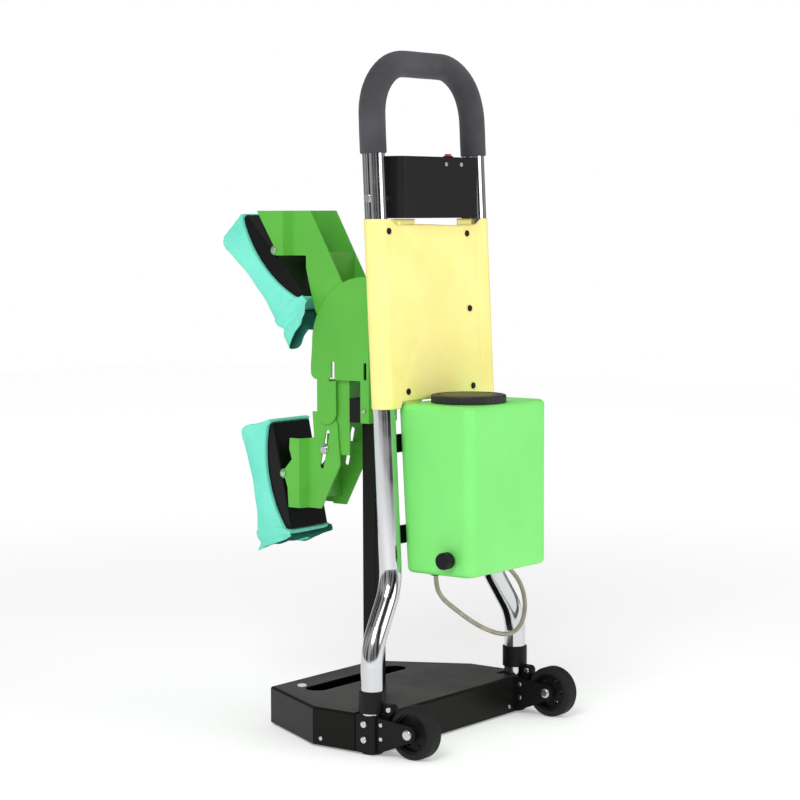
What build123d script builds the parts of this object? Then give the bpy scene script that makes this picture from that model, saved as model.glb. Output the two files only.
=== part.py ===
# Handrail cleaning machine for escalators: a wheeled stand that presses two cloth-covered
# heads against a moving handrail, with a liquid tank and a pump box on the handle frame.
#
# All sizes are millimetres. X is the operator's right, Y points forward to the heads, Z is up.
# While the parts are built, Y is measured from the line just inside the rear edge of the base.
# At the end everything is shifted so that the origin lies on the floor under the middle.
import math
import os

from build123d import *

# Where the origin sits, measured forward from the building line
ORIGIN_Y = 149.5

# Base box of folded sheet
BASE_HALF_WIDTH = 195.0
BASE_REAR_Y = -8.0
BASE_SIDE_Y = 103.0
BASE_FRONT_HALF = 123.0
BASE_FRONT_Y = 243.0
BASE_BOTTOM_Z = 3.0
BASE_TOP_Z = 57.0
BASE_WALL = 2.0
BASE_EDGE_RADIUS = 4.0
FLOOR_THICK = 2.0
FLOOR_GAP = 0.3
BALLAST_LENGTH = 230.0
BALLAST_DEPTH = 110.0
BALLAST_HEIGHT = 12.0
BALLAST_CORNER = 8.0
BALLAST_Y = 112.0

# Bent handle tube, whose legs stand in the notched rear corners of the base
TUBE_RADIUS = 16.0
TUBE_WALL = 2.0
LEG_INSET = 18.0
LEG_X = BASE_HALF_WIDTH - LEG_INSET
LEG_Y = 9.3
LEG_BEND_Z = 149.0
LEG_BEND_RADIUS = 80.0
LEG_FOOT_Z = 6.0
STILE_X = 121.0
STILE_START_Z = 229.0
STILE_START_Y = 17.7
STILE_LEAN = 2.7
HANDLE_Z = 970.0
HANDLE_BEND_RADIUS = 78.0
NOTCH_X = LEG_X - TUBE_RADIUS - 3.0
NOTCH_Y = LEG_Y + TUBE_RADIUS + 1.7

# Foam grip on the handle
FOAM_RADIUS = 19.0
FOAM_GAP = 0.3
FOAM_END_Z = 841.0

# Carrying slot in the top of the base
SLOT_LENGTH = 222.0
SLOT_WIDTH = 36.0
SLOT_Y = 177.0

# Plug, front feet and screws of the base
PLUG_X = -96.0
PLUG_Y = 205.0
PLUG_RADIUS = 7.0
FOOT_X = 95.0
FOOT_Y = 222.0
FOOT_RADIUS = 11.0
SMALL_SCREW_RADIUS = 3.2
SMALL_SCREW_HEIGHT = 2.0
BASE_SCREW_RISE = 10.0
SIDE_SCREW_Y = BASE_SIDE_Y - 15.0
REAR_SCREW_X = NOTCH_X - 21.0
FRONT_SCREW_X = BASE_FRONT_HALF - 43.0

# Leg sockets, sleeves and foot caps
SOCKET_GAP = 0.3
SOCKET_TOP_Z = 55.0
SLEEVE_RADIUS = 18.6
SLEEVE_HEIGHT = 31.0
SLEEVE_LEFT_Z = 58.0
SLEEVE_RIGHT_Z = 68.0
CAP_RADIUS = TUBE_RADIUS
CAP_HEIGHT = 5.6
CAP_EDGE = 1.5
SPIGOT_LENGTH = 12.0
SPIGOT_SINK = 1.0
SPIGOT_GAP = 0.2
NOTCH_GAP = 0.3
SOCKET_CORNER = 3.0
SOCKET_BOLT_Z = (22.0, 44.0)
SOCKET_BOLT_HEAD = 5.2
SOCKET_BOLT_HEIGHT = 4.0
SOCKET_BOLT_ROUND = 2.0

# Wheels, their forks and axles
WHEEL_INSET = 5.0
WHEEL_X = LEG_X - WHEEL_INSET
WHEEL_Y = -63.0
WHEEL_RADIUS = 37.5
WHEEL_WIDTH = 25.0
TYRE_THICK = 9.0
AXLE_RADIUS = 4.0
AXLE_GAP = 0.05
FORK_SHEET = 3.0
FORK_INSIDE = 15.0
FORK_BACK_HEIGHT = 50.0
FORK_LIFT = 1.0
FORK_NOSE_RADIUS = 12.0
AXLE_HEAD_RADIUS = 7.5
AXLE_HEAD_HEIGHT = 5.0
HUB_POCKETS = 6
FORK_SCREW_Y = -16.0
FORK_SCREW_Z = (25.0, 45.0)
EAR_Y = -21.0
EAR_Z = 65.0
EAR_THICK = 12.0
EAR_RADIUS = 7.0

# Liquid tank
TANK_HALF_WIDTH = 97.5
TANK_REAR_Y = -104.0
TANK_FRONT_BOTTOM_Y = 13.0
TANK_FRONT_TOP_Y = 27.0
TANK_BOTTOM_Z = 246.0
TANK_TOP_Z = 487.0
TANK_CORNER = 15.0
TANK_EDGE = 8.0
TANK_WALL = 3.0
NECK_RADIUS = 47.0
NECK_BORE = 42.0
NECK_HEIGHT = 9.0
LID_X = -18.0
LID_Y = -44.0
LID_RADIUS = 54.0
LID_HEIGHT = 11.0
LID_WALL = 3.0
LID_GAP = 0.4
LID_RIBS = 36

# Drain tap on the left side of the tank and the outlet under it
TAP_Y = -69.0
TAP_Z = 271.0
TAP_BODY_RADIUS = 8.0
TAP_BODY_LENGTH = 6.0
TAP_KNOB_RADIUS = 12.0
TAP_KNOB_LENGTH = 15.0
TAP_FLUTES = 8
OUTLET_X = -60.0
OUTLET_Y = -16.0
OUTLET_NUT_RADIUS = 8.0
OUTLET_NUT_HEIGHT = 6.0
BARB_RADIUS = 2.3
BARB_LENGTH = 12.0

# Cross bars that carry the tank between the stiles
BAR_HEIGHT = 26.0
BAR_THICK = 4.0
BAR_Z = (300.0, 430.0)
BAR_GAP = 0.02
BAR_BOLT_X = 60.0
BAR_BOLT_RADIUS = 5.0

# Pump box between the stiles
BOX_HALF_WIDTH = 95.0
BOX_REAR_Y = 16.0
BOX_FRONT_Y = 70.0
BOX_BOTTOM_Z = 750.0
BOX_TOP_Z = 838.0
BOX_CORNER = 11.0
BOX_WALL = 2.5
BOX_COVER_THICK = 2.5
BOX_BOLT_Z = 778.0
BOX_BOLT_RADIUS = 6.0
BOX_BOLT_HEAD = 3.6
BUTTON_X = 29.0
BUTTON_Y = 26.0
BUTTON_RADIUS = 5.0
BUTTON_PROUD = 3.2
BUTTON_TRAVEL = 2.0
BUTTON_GAP = 0.3
BEZEL_RADIUS = 7.5
BEZEL_HEIGHT = 1.5
GLAND_X = 85.5
GLAND_Y = 35.0
GLAND_RADIUS = 6.5
GLAND_HEIGHT = 16.0

# Hidden contents of the pump box
PUMP_X = 10.0
PUMP_LENGTH = 38.0
PUMP_HALF = 18.0
PUMP_HEIGHT = 30.0
MOTOR_LENGTH = 34.0
BATTERY_INSET = 8.0
BATTERY_LENGTH = 70.0
BATTERY_DEPTH = 34.0
BATTERY_HEIGHT = 60.0
BOARD_X = -8.0
BOARD_WIDTH = 14.0
BOARD_DEPTH = 26.0
BOARD_THICK = 2.0

# Banner wrapped round both stiles
BANNER_BOTTOM_Z = 481.0
BANNER_TOP_Z = 749.0
BANNER_TANK_Z = 490.0
BANNER_DIP_Z = 740.0
BANNER_DIP_X = 92.0
BANNER_THICK = 1.2
BANNER_CLEAR = 0.4
BANNER_FLAP_X = 52.0
BANNER_BEND_X = 88.0
SNAP_PLACES = ((72.0, 727.0), (72.0, 617.0), (73.0, 503.0), (-86.0, 504.0), (-116.0, 732.0))
SNAP_RADIUS = 4.6

# Post
POST_SIDE = 25.0
POST_WALL = 2.0
POST_Y = 143.0
POST_BOTTOM_Z = 22.0
POST_TOP_Z = 652.0
POST_GAP = 0.4
POST_CORNER = 2.5
POST_SOCKET_WALL = 3.0
POST_SOCKET_HEIGHT = 26.0
POST_DOT_Z = 220.0

# Sheet carrier that slides on the post
PLATE_X = 34.0
SHEET = 2.5
NEST_GAP = 0.3
CARRIER_REAR_Y = 127.5
CARRIER_ARC_Y = 131.5
CARRIER_ARC_Z = 563.0
CARRIER_ARC_RADIUS = 101.0
SHOULDER_OUT = 2.6
SHOULDER_RADIUS = 11.0
WINDOW_TOP_Z = 510.0
SHOULDER_HEIGHT = 21.0
SHOULDER_Z = WINDOW_TOP_Z + SHOULDER_HEIGHT
WINDOW_REAR_Y = 141.0
ARM_REAR_Y = 187.5
ARM_FRONT_Y = 223.5
ARM_LENGTH = 67.0
ARM_END_Z = WINDOW_TOP_Z - ARM_LENGTH
STRIP_LENGTH = 62.0
STRIP_END_Z = WINDOW_TOP_Z - STRIP_LENGTH
RELIEF_WIDTH = 5.5
RELIEF_HEIGHT = 27.0
RELIEF_FRONT_Y = 190.0
RELIEF_REAR_Y = 129.5
TAB_DEPTH = 14.0
GUIDE_HEIGHT = 36.0
GUIDE_Z = (WINDOW_TOP_Z - 44.0, WINDOW_TOP_Z + 50.0)
GUIDE_PAST_POST = 8.0
GUIDE_BOLT_RADIUS = 3.6
GUIDE_BOLT_HEIGHT = 2.6
GUIDE_BOLT_ROUND = 1.5
GUIDE_BOLT_IN = 6.5
GUIDE_GAP = 0.3

# Upper bracket fixed inside the carrier
UPPER_TOP_Z = 761.5
UPPER_REAR_TOP_Y = 236.6
UPPER_REAR_LOW = (150.0, 609.0)
UPPER_WING_Z = 694.5
UPPER_FRONT_Y = 245.5
UPPER_BEND_Y = 272.0
UPPER_EAR_TOP_Y = 329.0
UPPER_PIVOT = (295.0, 702.0)
UPPER_TILT = 43.5

# Lower bracket held by two bolts in slots
LOWER_PIVOT = (280.0, WINDOW_TOP_Z - 144.5)
LOWER_TILT = 12.5
LOWER_BEND_Y = 243.0
LOWER_FRONT_Y = 268.5
LOWER_TOP_Z = WINDOW_TOP_Z - 90.0
LOWER_BOTTOM_Z = WINDOW_TOP_Z - 195.0
SLOT_BOLT = (211.5, WINDOW_TOP_Z - 105.0)
BRACKET_SLOT_LENGTH = 60.0
BRACKET_SLOT_WIDTH = 7.4
SLOT_BOLT_HEAD = 6.2
MOUNT_REAR_Y = 166.0
MOUNT_FRONT_Y = 214.0
MOUNT_GAP = 0.5
EAR_RISE_Y = 7.0

# Cleaning heads, measured from the pivot: along the head, and forward of the pivot
HOLDER_HALF_WIDTH = 43.0
HOLDER_WALL = 3.0
HOLDER_LOW = -84.0
HOLDER_HIGH = 78.0
HOLDER_BACK = 5.0
HOLDER_ARC_PEAK = 31.5
HOLDER_ARC_RADIUS = 195.0
HOLDER_ARC_SHIFT = -6.0
HOLDER_EAR_GAP = 0.5
LUG_RADIUS = 7.0
PIVOT_RADIUS = 2.5
PIVOT_GAP = 0.05
PIVOT_HEAD_RADIUS = 4.5
PIVOT_HEAD_HEIGHT = 2.6
CLOTH_HALF_WIDTH = 50.0
CLOTH_THICK = 3.0
CLOTH_LOW = -92.0
CLOTH_HIGH = 86.0
CLOTH_FRONT = 75.0
CLOTH_HOLLOW = 520.0
CLOTH_TOP_CORNER = 18.0
CLOTH_LOW_CORNER = 10.0
CLOTH_LAP = 1.8
GROOVE_HALF = 38.0
GROOVE_BOTTOM = 38.0
PAD_GAP = 0.3

# Supply hose, as a list of points from the tank outlet round the right leg to the pump box
HOSE_RADIUS = 3.4
HOSE_GAP = 0.3
HOSE_ROUTE = (
    (-60.0, -16.0, 243.5),
    (-60.0, -16.0, 224.5),
    (-46.0, -16.3, 204.5),
    (-19.0, -16.8, 187.0),
    (13.0, -17.3, 167.5),
    (46.0, -17.8, 150.0),
    (83.0, -18.2, 135.0),
    (117.0, -18.5, 127.0),
    (142.0, -18.0, 129.5),
    (161.0, -16.5, 141.0),
    (171.0, -14.0, 159.0),
    (173.5, -10.5, 179.5),
    (170.5, -4.0, 199.5),
    (163.5, 6.0, 216.0),
    (154.0, 19.0, 230.5),
    (145.0, 31.5, 247.0),
    (136.0, 41.0, 269.0),
    (122.0, 47.5, 299.0),
    (110.0, 48.0, 342.0),
    (102.0, 46.0, 394.0),
    (96.0, 42.5, 448.0),
    (92.0, 38.0, 502.0),
    (89.5, 34.0, 558.0),
    (88.0, 32.0, 614.0),
    (86.3, 33.0, 668.0),
    (85.5, 35.0, 708.0),
    (85.5, 35.0, 739.0),
)


def stile_y(z):
    """Forward place of the leaning stile's centre line at a height."""
    return STILE_START_Y + (z - STILE_START_Z) * math.tan(math.radians(STILE_LEAN))


def rod_x(radius, length, x, y, z):
    """Round bar along X, centred on a point."""
    return Pos(x, y, z) * Rot(0, 90, 0) * Cylinder(radius, length)


def rod_y(radius, length, x, y, z):
    """Round bar along Y, centred on a point."""
    return Pos(x, y, z) * Rot(90, 0, 0) * Cylinder(radius, length)


def rod_z(radius, length, x, y, z):
    """Round bar along Z, centred on a point."""
    return Pos(x, y, z) * Cylinder(radius, length)


def block(x_span, y_span, z_span):
    """Box from three pairs of limits."""
    spans = (x_span, y_span, z_span)
    size = [high - low for low, high in spans]
    middle = [(high + low) / 2 for low, high in spans]
    return Pos(*middle) * Box(*size)


def side_face(points):
    """Flat outline drawn in Y and Z."""
    return Polygon(*points, align=None)


def side_plate(face, x_low, x_high):
    """Sheet between two X values with an outline drawn in Y and Z."""
    return extrude(Plane.YZ.offset(x_low) * face, x_high - x_low, dir=(1, 0, 0))


def plan_solid(face, z_low, z_high):
    """Solid between two heights with an outline drawn in X and Y."""
    return extrude(Plane.XY.offset(z_low) * face, z_high - z_low, dir=(0, 0, 1))


def pair(shape):
    """A shape and its mirror image on the other side of the machine."""
    return Compound(children=[*shape.solids(), *mirror(shape, about=Plane.YZ).solids()])


def handle_path():
    """Centre line of the bent tube, from the left foot over the top to the right foot."""
    top_y = stile_y(HANDLE_Z)
    half = [
        (LEG_X, LEG_Y, LEG_FOOT_Z),
        (LEG_X, LEG_Y, LEG_BEND_Z),
        (STILE_X, STILE_START_Y, STILE_START_Z),
        (STILE_X, top_y, HANDLE_Z),
    ]
    left = [(-x, y, z) for x, y, z in half]
    bends = [LEG_BEND_RADIUS, LEG_BEND_RADIUS, HANDLE_BEND_RADIUS]
    return FilletPolyline(*left, *reversed(half), radius=bends + bends[::-1])


def grip_path():
    """Centre line of the foam grip, which covers the top of the handle."""
    top_y = stile_y(HANDLE_Z)
    end_y = stile_y(FOAM_END_Z)
    points = [
        (-STILE_X, end_y, FOAM_END_Z),
        (-STILE_X, top_y, HANDLE_Z),
        (STILE_X, top_y, HANDLE_Z),
        (STILE_X, end_y, FOAM_END_Z),
    ]
    return FilletPolyline(*points, radius=HANDLE_BEND_RADIUS)


def ring_along(path, outer, inner):
    """Round pipe of two radii along a path."""
    ring = Plane(origin=path @ 0, z_dir=path % 0) * (Circle(outer) - Circle(inner))
    return sweep(ring, path=path)


def base_outline(inset):
    """Plan outline of the base, drawn a distance inside its walls."""
    right = [
        (NOTCH_X, BASE_REAR_Y),
        (NOTCH_X, NOTCH_Y),
        (BASE_HALF_WIDTH, NOTCH_Y),
        (BASE_HALF_WIDTH, BASE_SIDE_Y),
        (BASE_FRONT_HALF, BASE_FRONT_Y),
    ]
    left = [(-x, y) for x, y in reversed(right)]
    face = Polygon(*right, *left, align=None)
    if inset:
        face = offset(face, -inset, kind=Kind.INTERSECTION)
    return face


def post_outline(grow=0.0):
    """Square section of the post with rounded corners, grown by a clearance."""
    side = POST_SIDE + 2 * grow
    return Pos(0, POST_Y) * RectangleRounded(side, side, POST_CORNER + grow)


def make_base():
    """Folded base box with its slot, floor, ballast, plug, feet and screws."""
    shell = plan_solid(base_outline(0), BASE_BOTTOM_Z, BASE_TOP_Z)
    rim = shell.faces().sort_by(Axis.Z)[-1].edges()
    shell = fillet(rim, BASE_EDGE_RADIUS)
    shell -= plan_solid(base_outline(BASE_WALL), BASE_BOTTOM_Z - 1, BASE_TOP_Z - BASE_WALL)
    slot = Pos(0, SLOT_Y) * SlotOverall(SLOT_LENGTH, SLOT_WIDTH)
    shell -= plan_solid(slot, BASE_TOP_Z - 2 * BASE_WALL, BASE_TOP_Z + 1)
    shell -= plan_solid(post_outline(POST_GAP), BASE_TOP_Z - 2 * BASE_WALL, BASE_TOP_Z + 1)
    shell -= rod_z(PLUG_RADIUS - 2, 10, PLUG_X, PLUG_Y, BASE_TOP_Z)

    floor_face = base_outline(BASE_WALL + FLOOR_GAP)
    floor = plan_solid(floor_face, BASE_BOTTOM_Z, BASE_BOTTOM_Z + FLOOR_THICK)

    floor_top = BASE_BOTTOM_Z + FLOOR_THICK
    socket_bottom = floor_top + BALLAST_HEIGHT
    ballast = block((-BALLAST_LENGTH / 2, BALLAST_LENGTH / 2),
                    (BALLAST_Y - BALLAST_DEPTH / 2, BALLAST_Y + BALLAST_DEPTH / 2),
                    (floor_top, socket_bottom))
    ballast = chamfer(ballast.edges().filter_by(Axis.Z), BALLAST_CORNER)

    outer = POST_SIDE / 2 + POST_GAP + POST_SOCKET_WALL
    socket = block((-outer, outer), (POST_Y - outer, POST_Y + outer),
                   (socket_bottom, socket_bottom + POST_SOCKET_HEIGHT))
    socket -= plan_solid(post_outline(POST_GAP), POST_BOTTOM_Z, 100)
    socket += block((-outer - 14, outer + 14), (POST_Y - outer, POST_Y + outer),
                    (socket_bottom, socket_bottom + 4))
    socket -= plan_solid(post_outline(POST_GAP), POST_BOTTOM_Z, 100)

    plug = rod_z(PLUG_RADIUS, 3, PLUG_X, PLUG_Y, BASE_TOP_Z + 1.5)
    plug = fillet(plug.edges().sort_by(Axis.Z)[-1], 1.8)
    stem_height = 6.0
    plug += rod_z(PLUG_RADIUS - 2.2, stem_height, PLUG_X, PLUG_Y, BASE_TOP_Z - stem_height / 2)

    foot = rod_z(FOOT_RADIUS, BASE_BOTTOM_Z, FOOT_X, FOOT_Y, BASE_BOTTOM_Z / 2)
    foot = chamfer(foot.edges().sort_by(Axis.Z)[0], 1)

    return {
        "base_box": shell,
        "base_floor": floor,
        "ballast_plate": ballast,
        "post_socket": socket,
        "base_plug": plug,
        "front_feet": pair(foot),
        "base_screws": base_screws(),
    }


def base_screws():
    """Small screws low on the sides and rear of the base, which hold its floor."""
    height = SMALL_SCREW_HEIGHT
    z = BASE_BOTTOM_Z + BASE_SCREW_RISE
    side = rod_x(SMALL_SCREW_RADIUS, height, BASE_HALF_WIDTH + height / 2, SIDE_SCREW_Y, z)
    rear = rod_y(SMALL_SCREW_RADIUS, height, REAR_SCREW_X, BASE_REAR_Y - height / 2, z)
    front = rod_y(SMALL_SCREW_RADIUS, height, FRONT_SCREW_X, BASE_FRONT_Y + height / 2, z)
    side = fillet(side.edges().sort_by(Axis.X)[-1], height * 0.6)
    rear = fillet(rear.edges().sort_by(Axis.Y)[0], height * 0.6)
    front = fillet(front.edges().sort_by(Axis.Y)[-1], height * 0.6)
    solids = [piece.solid() for piece in (side, rear, front)]
    mirrored = [mirror(piece, about=Plane.YZ).solid() for piece in (side, rear, front)]
    return Compound(children=solids + mirrored)


def make_frame():
    """Bent tube, foam grip, leg sockets, sleeves, foot caps and their bolts."""
    tube = ring_along(handle_path(), TUBE_RADIUS, TUBE_RADIUS - TUBE_WALL)
    foam = ring_along(grip_path(), FOAM_RADIUS, TUBE_RADIUS + FOAM_GAP)
    parts = {"frame_tube": tube, "foam_grip": foam}

    clear = TUBE_RADIUS + SOCKET_GAP
    sleeves = []
    for name, sign, sleeve_z in (("left", -1, SLEEVE_LEFT_Z), ("right", 1, SLEEVE_RIGHT_Z)):
        x = sign * LEG_X
        inner_x = sign * (NOTCH_X + NOTCH_GAP)
        outer_x = sign * BASE_HALF_WIDTH
        socket = block((min(inner_x, outer_x), max(inner_x, outer_x)),
                       (BASE_REAR_Y, NOTCH_Y - NOTCH_GAP), (BASE_BOTTOM_Z, SOCKET_TOP_Z))
        socket = fillet(socket.edges().filter_by(Axis.Z), SOCKET_CORNER)
        socket -= rod_z(clear, 4 * SOCKET_TOP_Z, x, LEG_Y, SOCKET_TOP_Z)
        parts[f"leg_socket_{name}"] = socket
        sleeve = rod_z(SLEEVE_RADIUS, SLEEVE_HEIGHT, x, LEG_Y, sleeve_z + SLEEVE_HEIGHT / 2)
        sleeve = fillet(sleeve.edges().filter_by(GeomType.CIRCLE), 1)
        sleeve -= rod_z(TUBE_RADIUS, 4 * SLEEVE_HEIGHT, x, LEG_Y, sleeve_z)
        sleeves.append(sleeve.solid())

    parts["leg_sleeves"] = Compound(children=sleeves)
    cap = rod_z(CAP_RADIUS, CAP_HEIGHT, LEG_X, LEG_Y, CAP_HEIGHT / 2)
    cap = chamfer(cap.edges().sort_by(Axis.Z)[0], CAP_EDGE)
    spigot = TUBE_RADIUS - TUBE_WALL - SPIGOT_GAP
    spigot_z = CAP_HEIGHT + SPIGOT_LENGTH / 2 - SPIGOT_SINK
    cap += rod_z(spigot, SPIGOT_LENGTH, LEG_X, LEG_Y, spigot_z)
    parts["leg_foot_caps"] = pair(cap)

    bolts = []
    for z in SOCKET_BOLT_Z:
        head_x = BASE_HALF_WIDTH + SOCKET_BOLT_HEIGHT / 2
        head = rod_x(SOCKET_BOLT_HEAD, SOCKET_BOLT_HEIGHT, head_x, LEG_Y, z)
        bolts.append(fillet(head.edges().sort_by(Axis.X)[-1], SOCKET_BOLT_ROUND).solid())
    parts["leg_bolts"] = pair(Compound(children=bolts))
    return parts


def fork_face():
    """Side outline of a wheel fork cheek, from the base back to the axle."""
    front = BASE_REAR_Y - FORK_SHEET
    low = BASE_BOTTOM_Z + FORK_LIFT
    high = low + FORK_BACK_HEIGHT
    nose = Pos(WHEEL_Y, WHEEL_RADIUS) * Circle(FORK_NOSE_RADIUS)
    corner_low = (front, low)
    corner_high = (front, high)
    arm = Polygon(corner_low, corner_high, (WHEEL_Y, WHEEL_RADIUS + FORK_NOSE_RADIUS),
                  (WHEEL_Y, WHEEL_RADIUS - FORK_NOSE_RADIUS), align=None)
    return arm + nose


def make_wheel_bracket(sign):
    """Folded fork with two cheeks, a web on the base and an ear with its bolt hole."""
    centre = sign * WHEEL_X
    cheeks = []
    for side in (-1, 1):
        inner = centre + side * FORK_INSIDE
        outer = inner + side * FORK_SHEET
        cheeks.append(side_plate(fork_face(), min(inner, outer), max(inner, outer)))
    half = FORK_INSIDE + FORK_SHEET
    low = BASE_BOTTOM_Z + FORK_LIFT
    web = block((centre - half, centre + half), (BASE_REAR_Y - FORK_SHEET, BASE_REAR_Y),
                (low, low + FORK_BACK_HEIGHT))
    ear_front = BASE_REAR_Y - FORK_SHEET
    ear_face = side_face((
        (ear_front, low + FORK_BACK_HEIGHT - 10), (EAR_Y - EAR_RADIUS, EAR_Z - 5),
        (EAR_Y - EAR_RADIUS, EAR_Z), (EAR_Y, EAR_Z + EAR_RADIUS), (ear_front, EAR_Z + EAR_RADIUS),
    ))
    ear_face += Pos(EAR_Y, EAR_Z) * Circle(EAR_RADIUS)
    ear = side_plate(ear_face, centre - EAR_THICK / 2, centre + EAR_THICK / 2)
    bracket = cheeks[0] + cheeks[1] + web + ear
    bracket -= rod_x(AXLE_RADIUS + 0.1, 2 * half + 10, centre, WHEEL_Y, WHEEL_RADIUS)
    return bracket


def make_wheel(sign):
    """Rubber tyre and moulded hub of one wheel, turned round its axle."""
    centre = sign * WHEEL_X
    half = WHEEL_WIDTH / 2
    rim = WHEEL_RADIUS - TYRE_THICK
    tyre = rod_x(WHEEL_RADIUS, WHEEL_WIDTH, centre, WHEEL_Y, WHEEL_RADIUS)
    tyre = fillet(tyre.edges().filter_by(GeomType.CIRCLE), 5)
    tyre -= rod_x(rim, WHEEL_WIDTH + 2, centre, WHEEL_Y, WHEEL_RADIUS)

    hub = rod_x(rim, WHEEL_WIDTH - 5, centre, WHEEL_Y, WHEEL_RADIUS)
    recess_depth = 6.0
    recess = Circle(rim - 3) - Circle(AXLE_RADIUS + 6)
    pocket_ring = (AXLE_RADIUS + 6 + rim - 3) / 2
    for side in (-1, 1):
        start = centre + side * (half - 2.5)
        face = Plane(origin=(start, WHEEL_Y, WHEEL_RADIUS), z_dir=(-side, 0, 0)) * recess
        hub -= extrude(face, recess_depth)
    for index in range(HUB_POCKETS):
        angle = math.tau * index / HUB_POCKETS
        y = WHEEL_Y + pocket_ring * math.cos(angle)
        z = WHEEL_RADIUS + pocket_ring * math.sin(angle)
        hub -= rod_x(3.2, WHEEL_WIDTH, centre, y, z)
    hub += rod_x(AXLE_RADIUS + 4, 2 * FORK_INSIDE - 0.8, centre, WHEEL_Y, WHEEL_RADIUS)
    hub -= rod_x(AXLE_RADIUS + AXLE_GAP, 60, centre, WHEEL_Y, WHEEL_RADIUS)
    return tyre, hub


def make_axle(sign):
    """Axle bolt with a domed head on the operator's left and a nut on the right."""
    centre = sign * WHEEL_X
    half = FORK_INSIDE + FORK_SHEET
    shank = rod_x(AXLE_RADIUS, 2 * half + 8, centre + 4, WHEEL_Y, WHEEL_RADIUS)
    head = rod_x(AXLE_HEAD_RADIUS, AXLE_HEAD_HEIGHT, centre - half - AXLE_HEAD_HEIGHT / 2,
                 WHEEL_Y, WHEEL_RADIUS)
    head = fillet(head.edges().sort_by(Axis.X)[0], 3)
    nut_plane = Plane(origin=(centre + half, WHEEL_Y, WHEEL_RADIUS), z_dir=(1, 0, 0))
    nut = extrude(nut_plane * RegularPolygon(AXLE_HEAD_RADIUS, 6), 6)
    return shank + head + nut


def make_wheels():
    """Both wheels with forks, axles and ear bolts."""
    parts = {}
    axles = []
    for name, sign in (("left", -1), ("right", 1)):
        tyre, hub = make_wheel(sign)
        parts[f"wheel_bracket_{name}"] = make_wheel_bracket(sign)
        parts[f"wheel_tyre_{name}"] = tyre
        parts[f"wheel_hub_{name}"] = hub
        axles.append(make_axle(sign).solid())
    heads = []
    for sign in (-1, 1):
        face_x = sign * WHEEL_X - EAR_THICK / 2
        head = rod_x(4.4, 3, face_x - 1.5, EAR_Y, EAR_Z)
        heads.append(fillet(head.edges().sort_by(Axis.X)[0], 1.6).solid())
    parts["ear_bolts"] = Compound(children=heads)
    parts["wheel_axles"] = Compound(children=axles)
    screws = []
    for sign in (-1, 1):
        cheek = sign * WHEEL_X - FORK_INSIDE - FORK_SHEET
        for z in FORK_SCREW_Z:
            screw = rod_x(SMALL_SCREW_RADIUS, 1.8, cheek - 0.9, FORK_SCREW_Y, z)
            screws.append(fillet(screw.edges().sort_by(Axis.X)[0], 1).solid())
    parts["fork_screws"] = Compound(children=screws)
    return parts


def tank_shape(inset):
    """Rounded tank body, drawn a wall's thickness smaller for its inside."""
    low = TANK_BOTTOM_Z + inset
    high = TANK_TOP_Z - inset
    face = side_face((
        (TANK_REAR_Y + inset, low),
        (TANK_FRONT_BOTTOM_Y - inset, low),
        (TANK_FRONT_TOP_Y - inset, high),
        (TANK_REAR_Y + inset, high),
    ))
    half = TANK_HALF_WIDTH - inset
    body = side_plate(face, -half, half)
    uprights = [edge for edge in body.edges() if abs(edge.tangent_at(0.5).Z) > 0.9]
    body = fillet(uprights, TANK_CORNER - inset)
    ends = body.faces().sort_by(Axis.Z)
    return fillet(ends[0].edges() + ends[-1].edges(), TANK_EDGE - inset)


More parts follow.
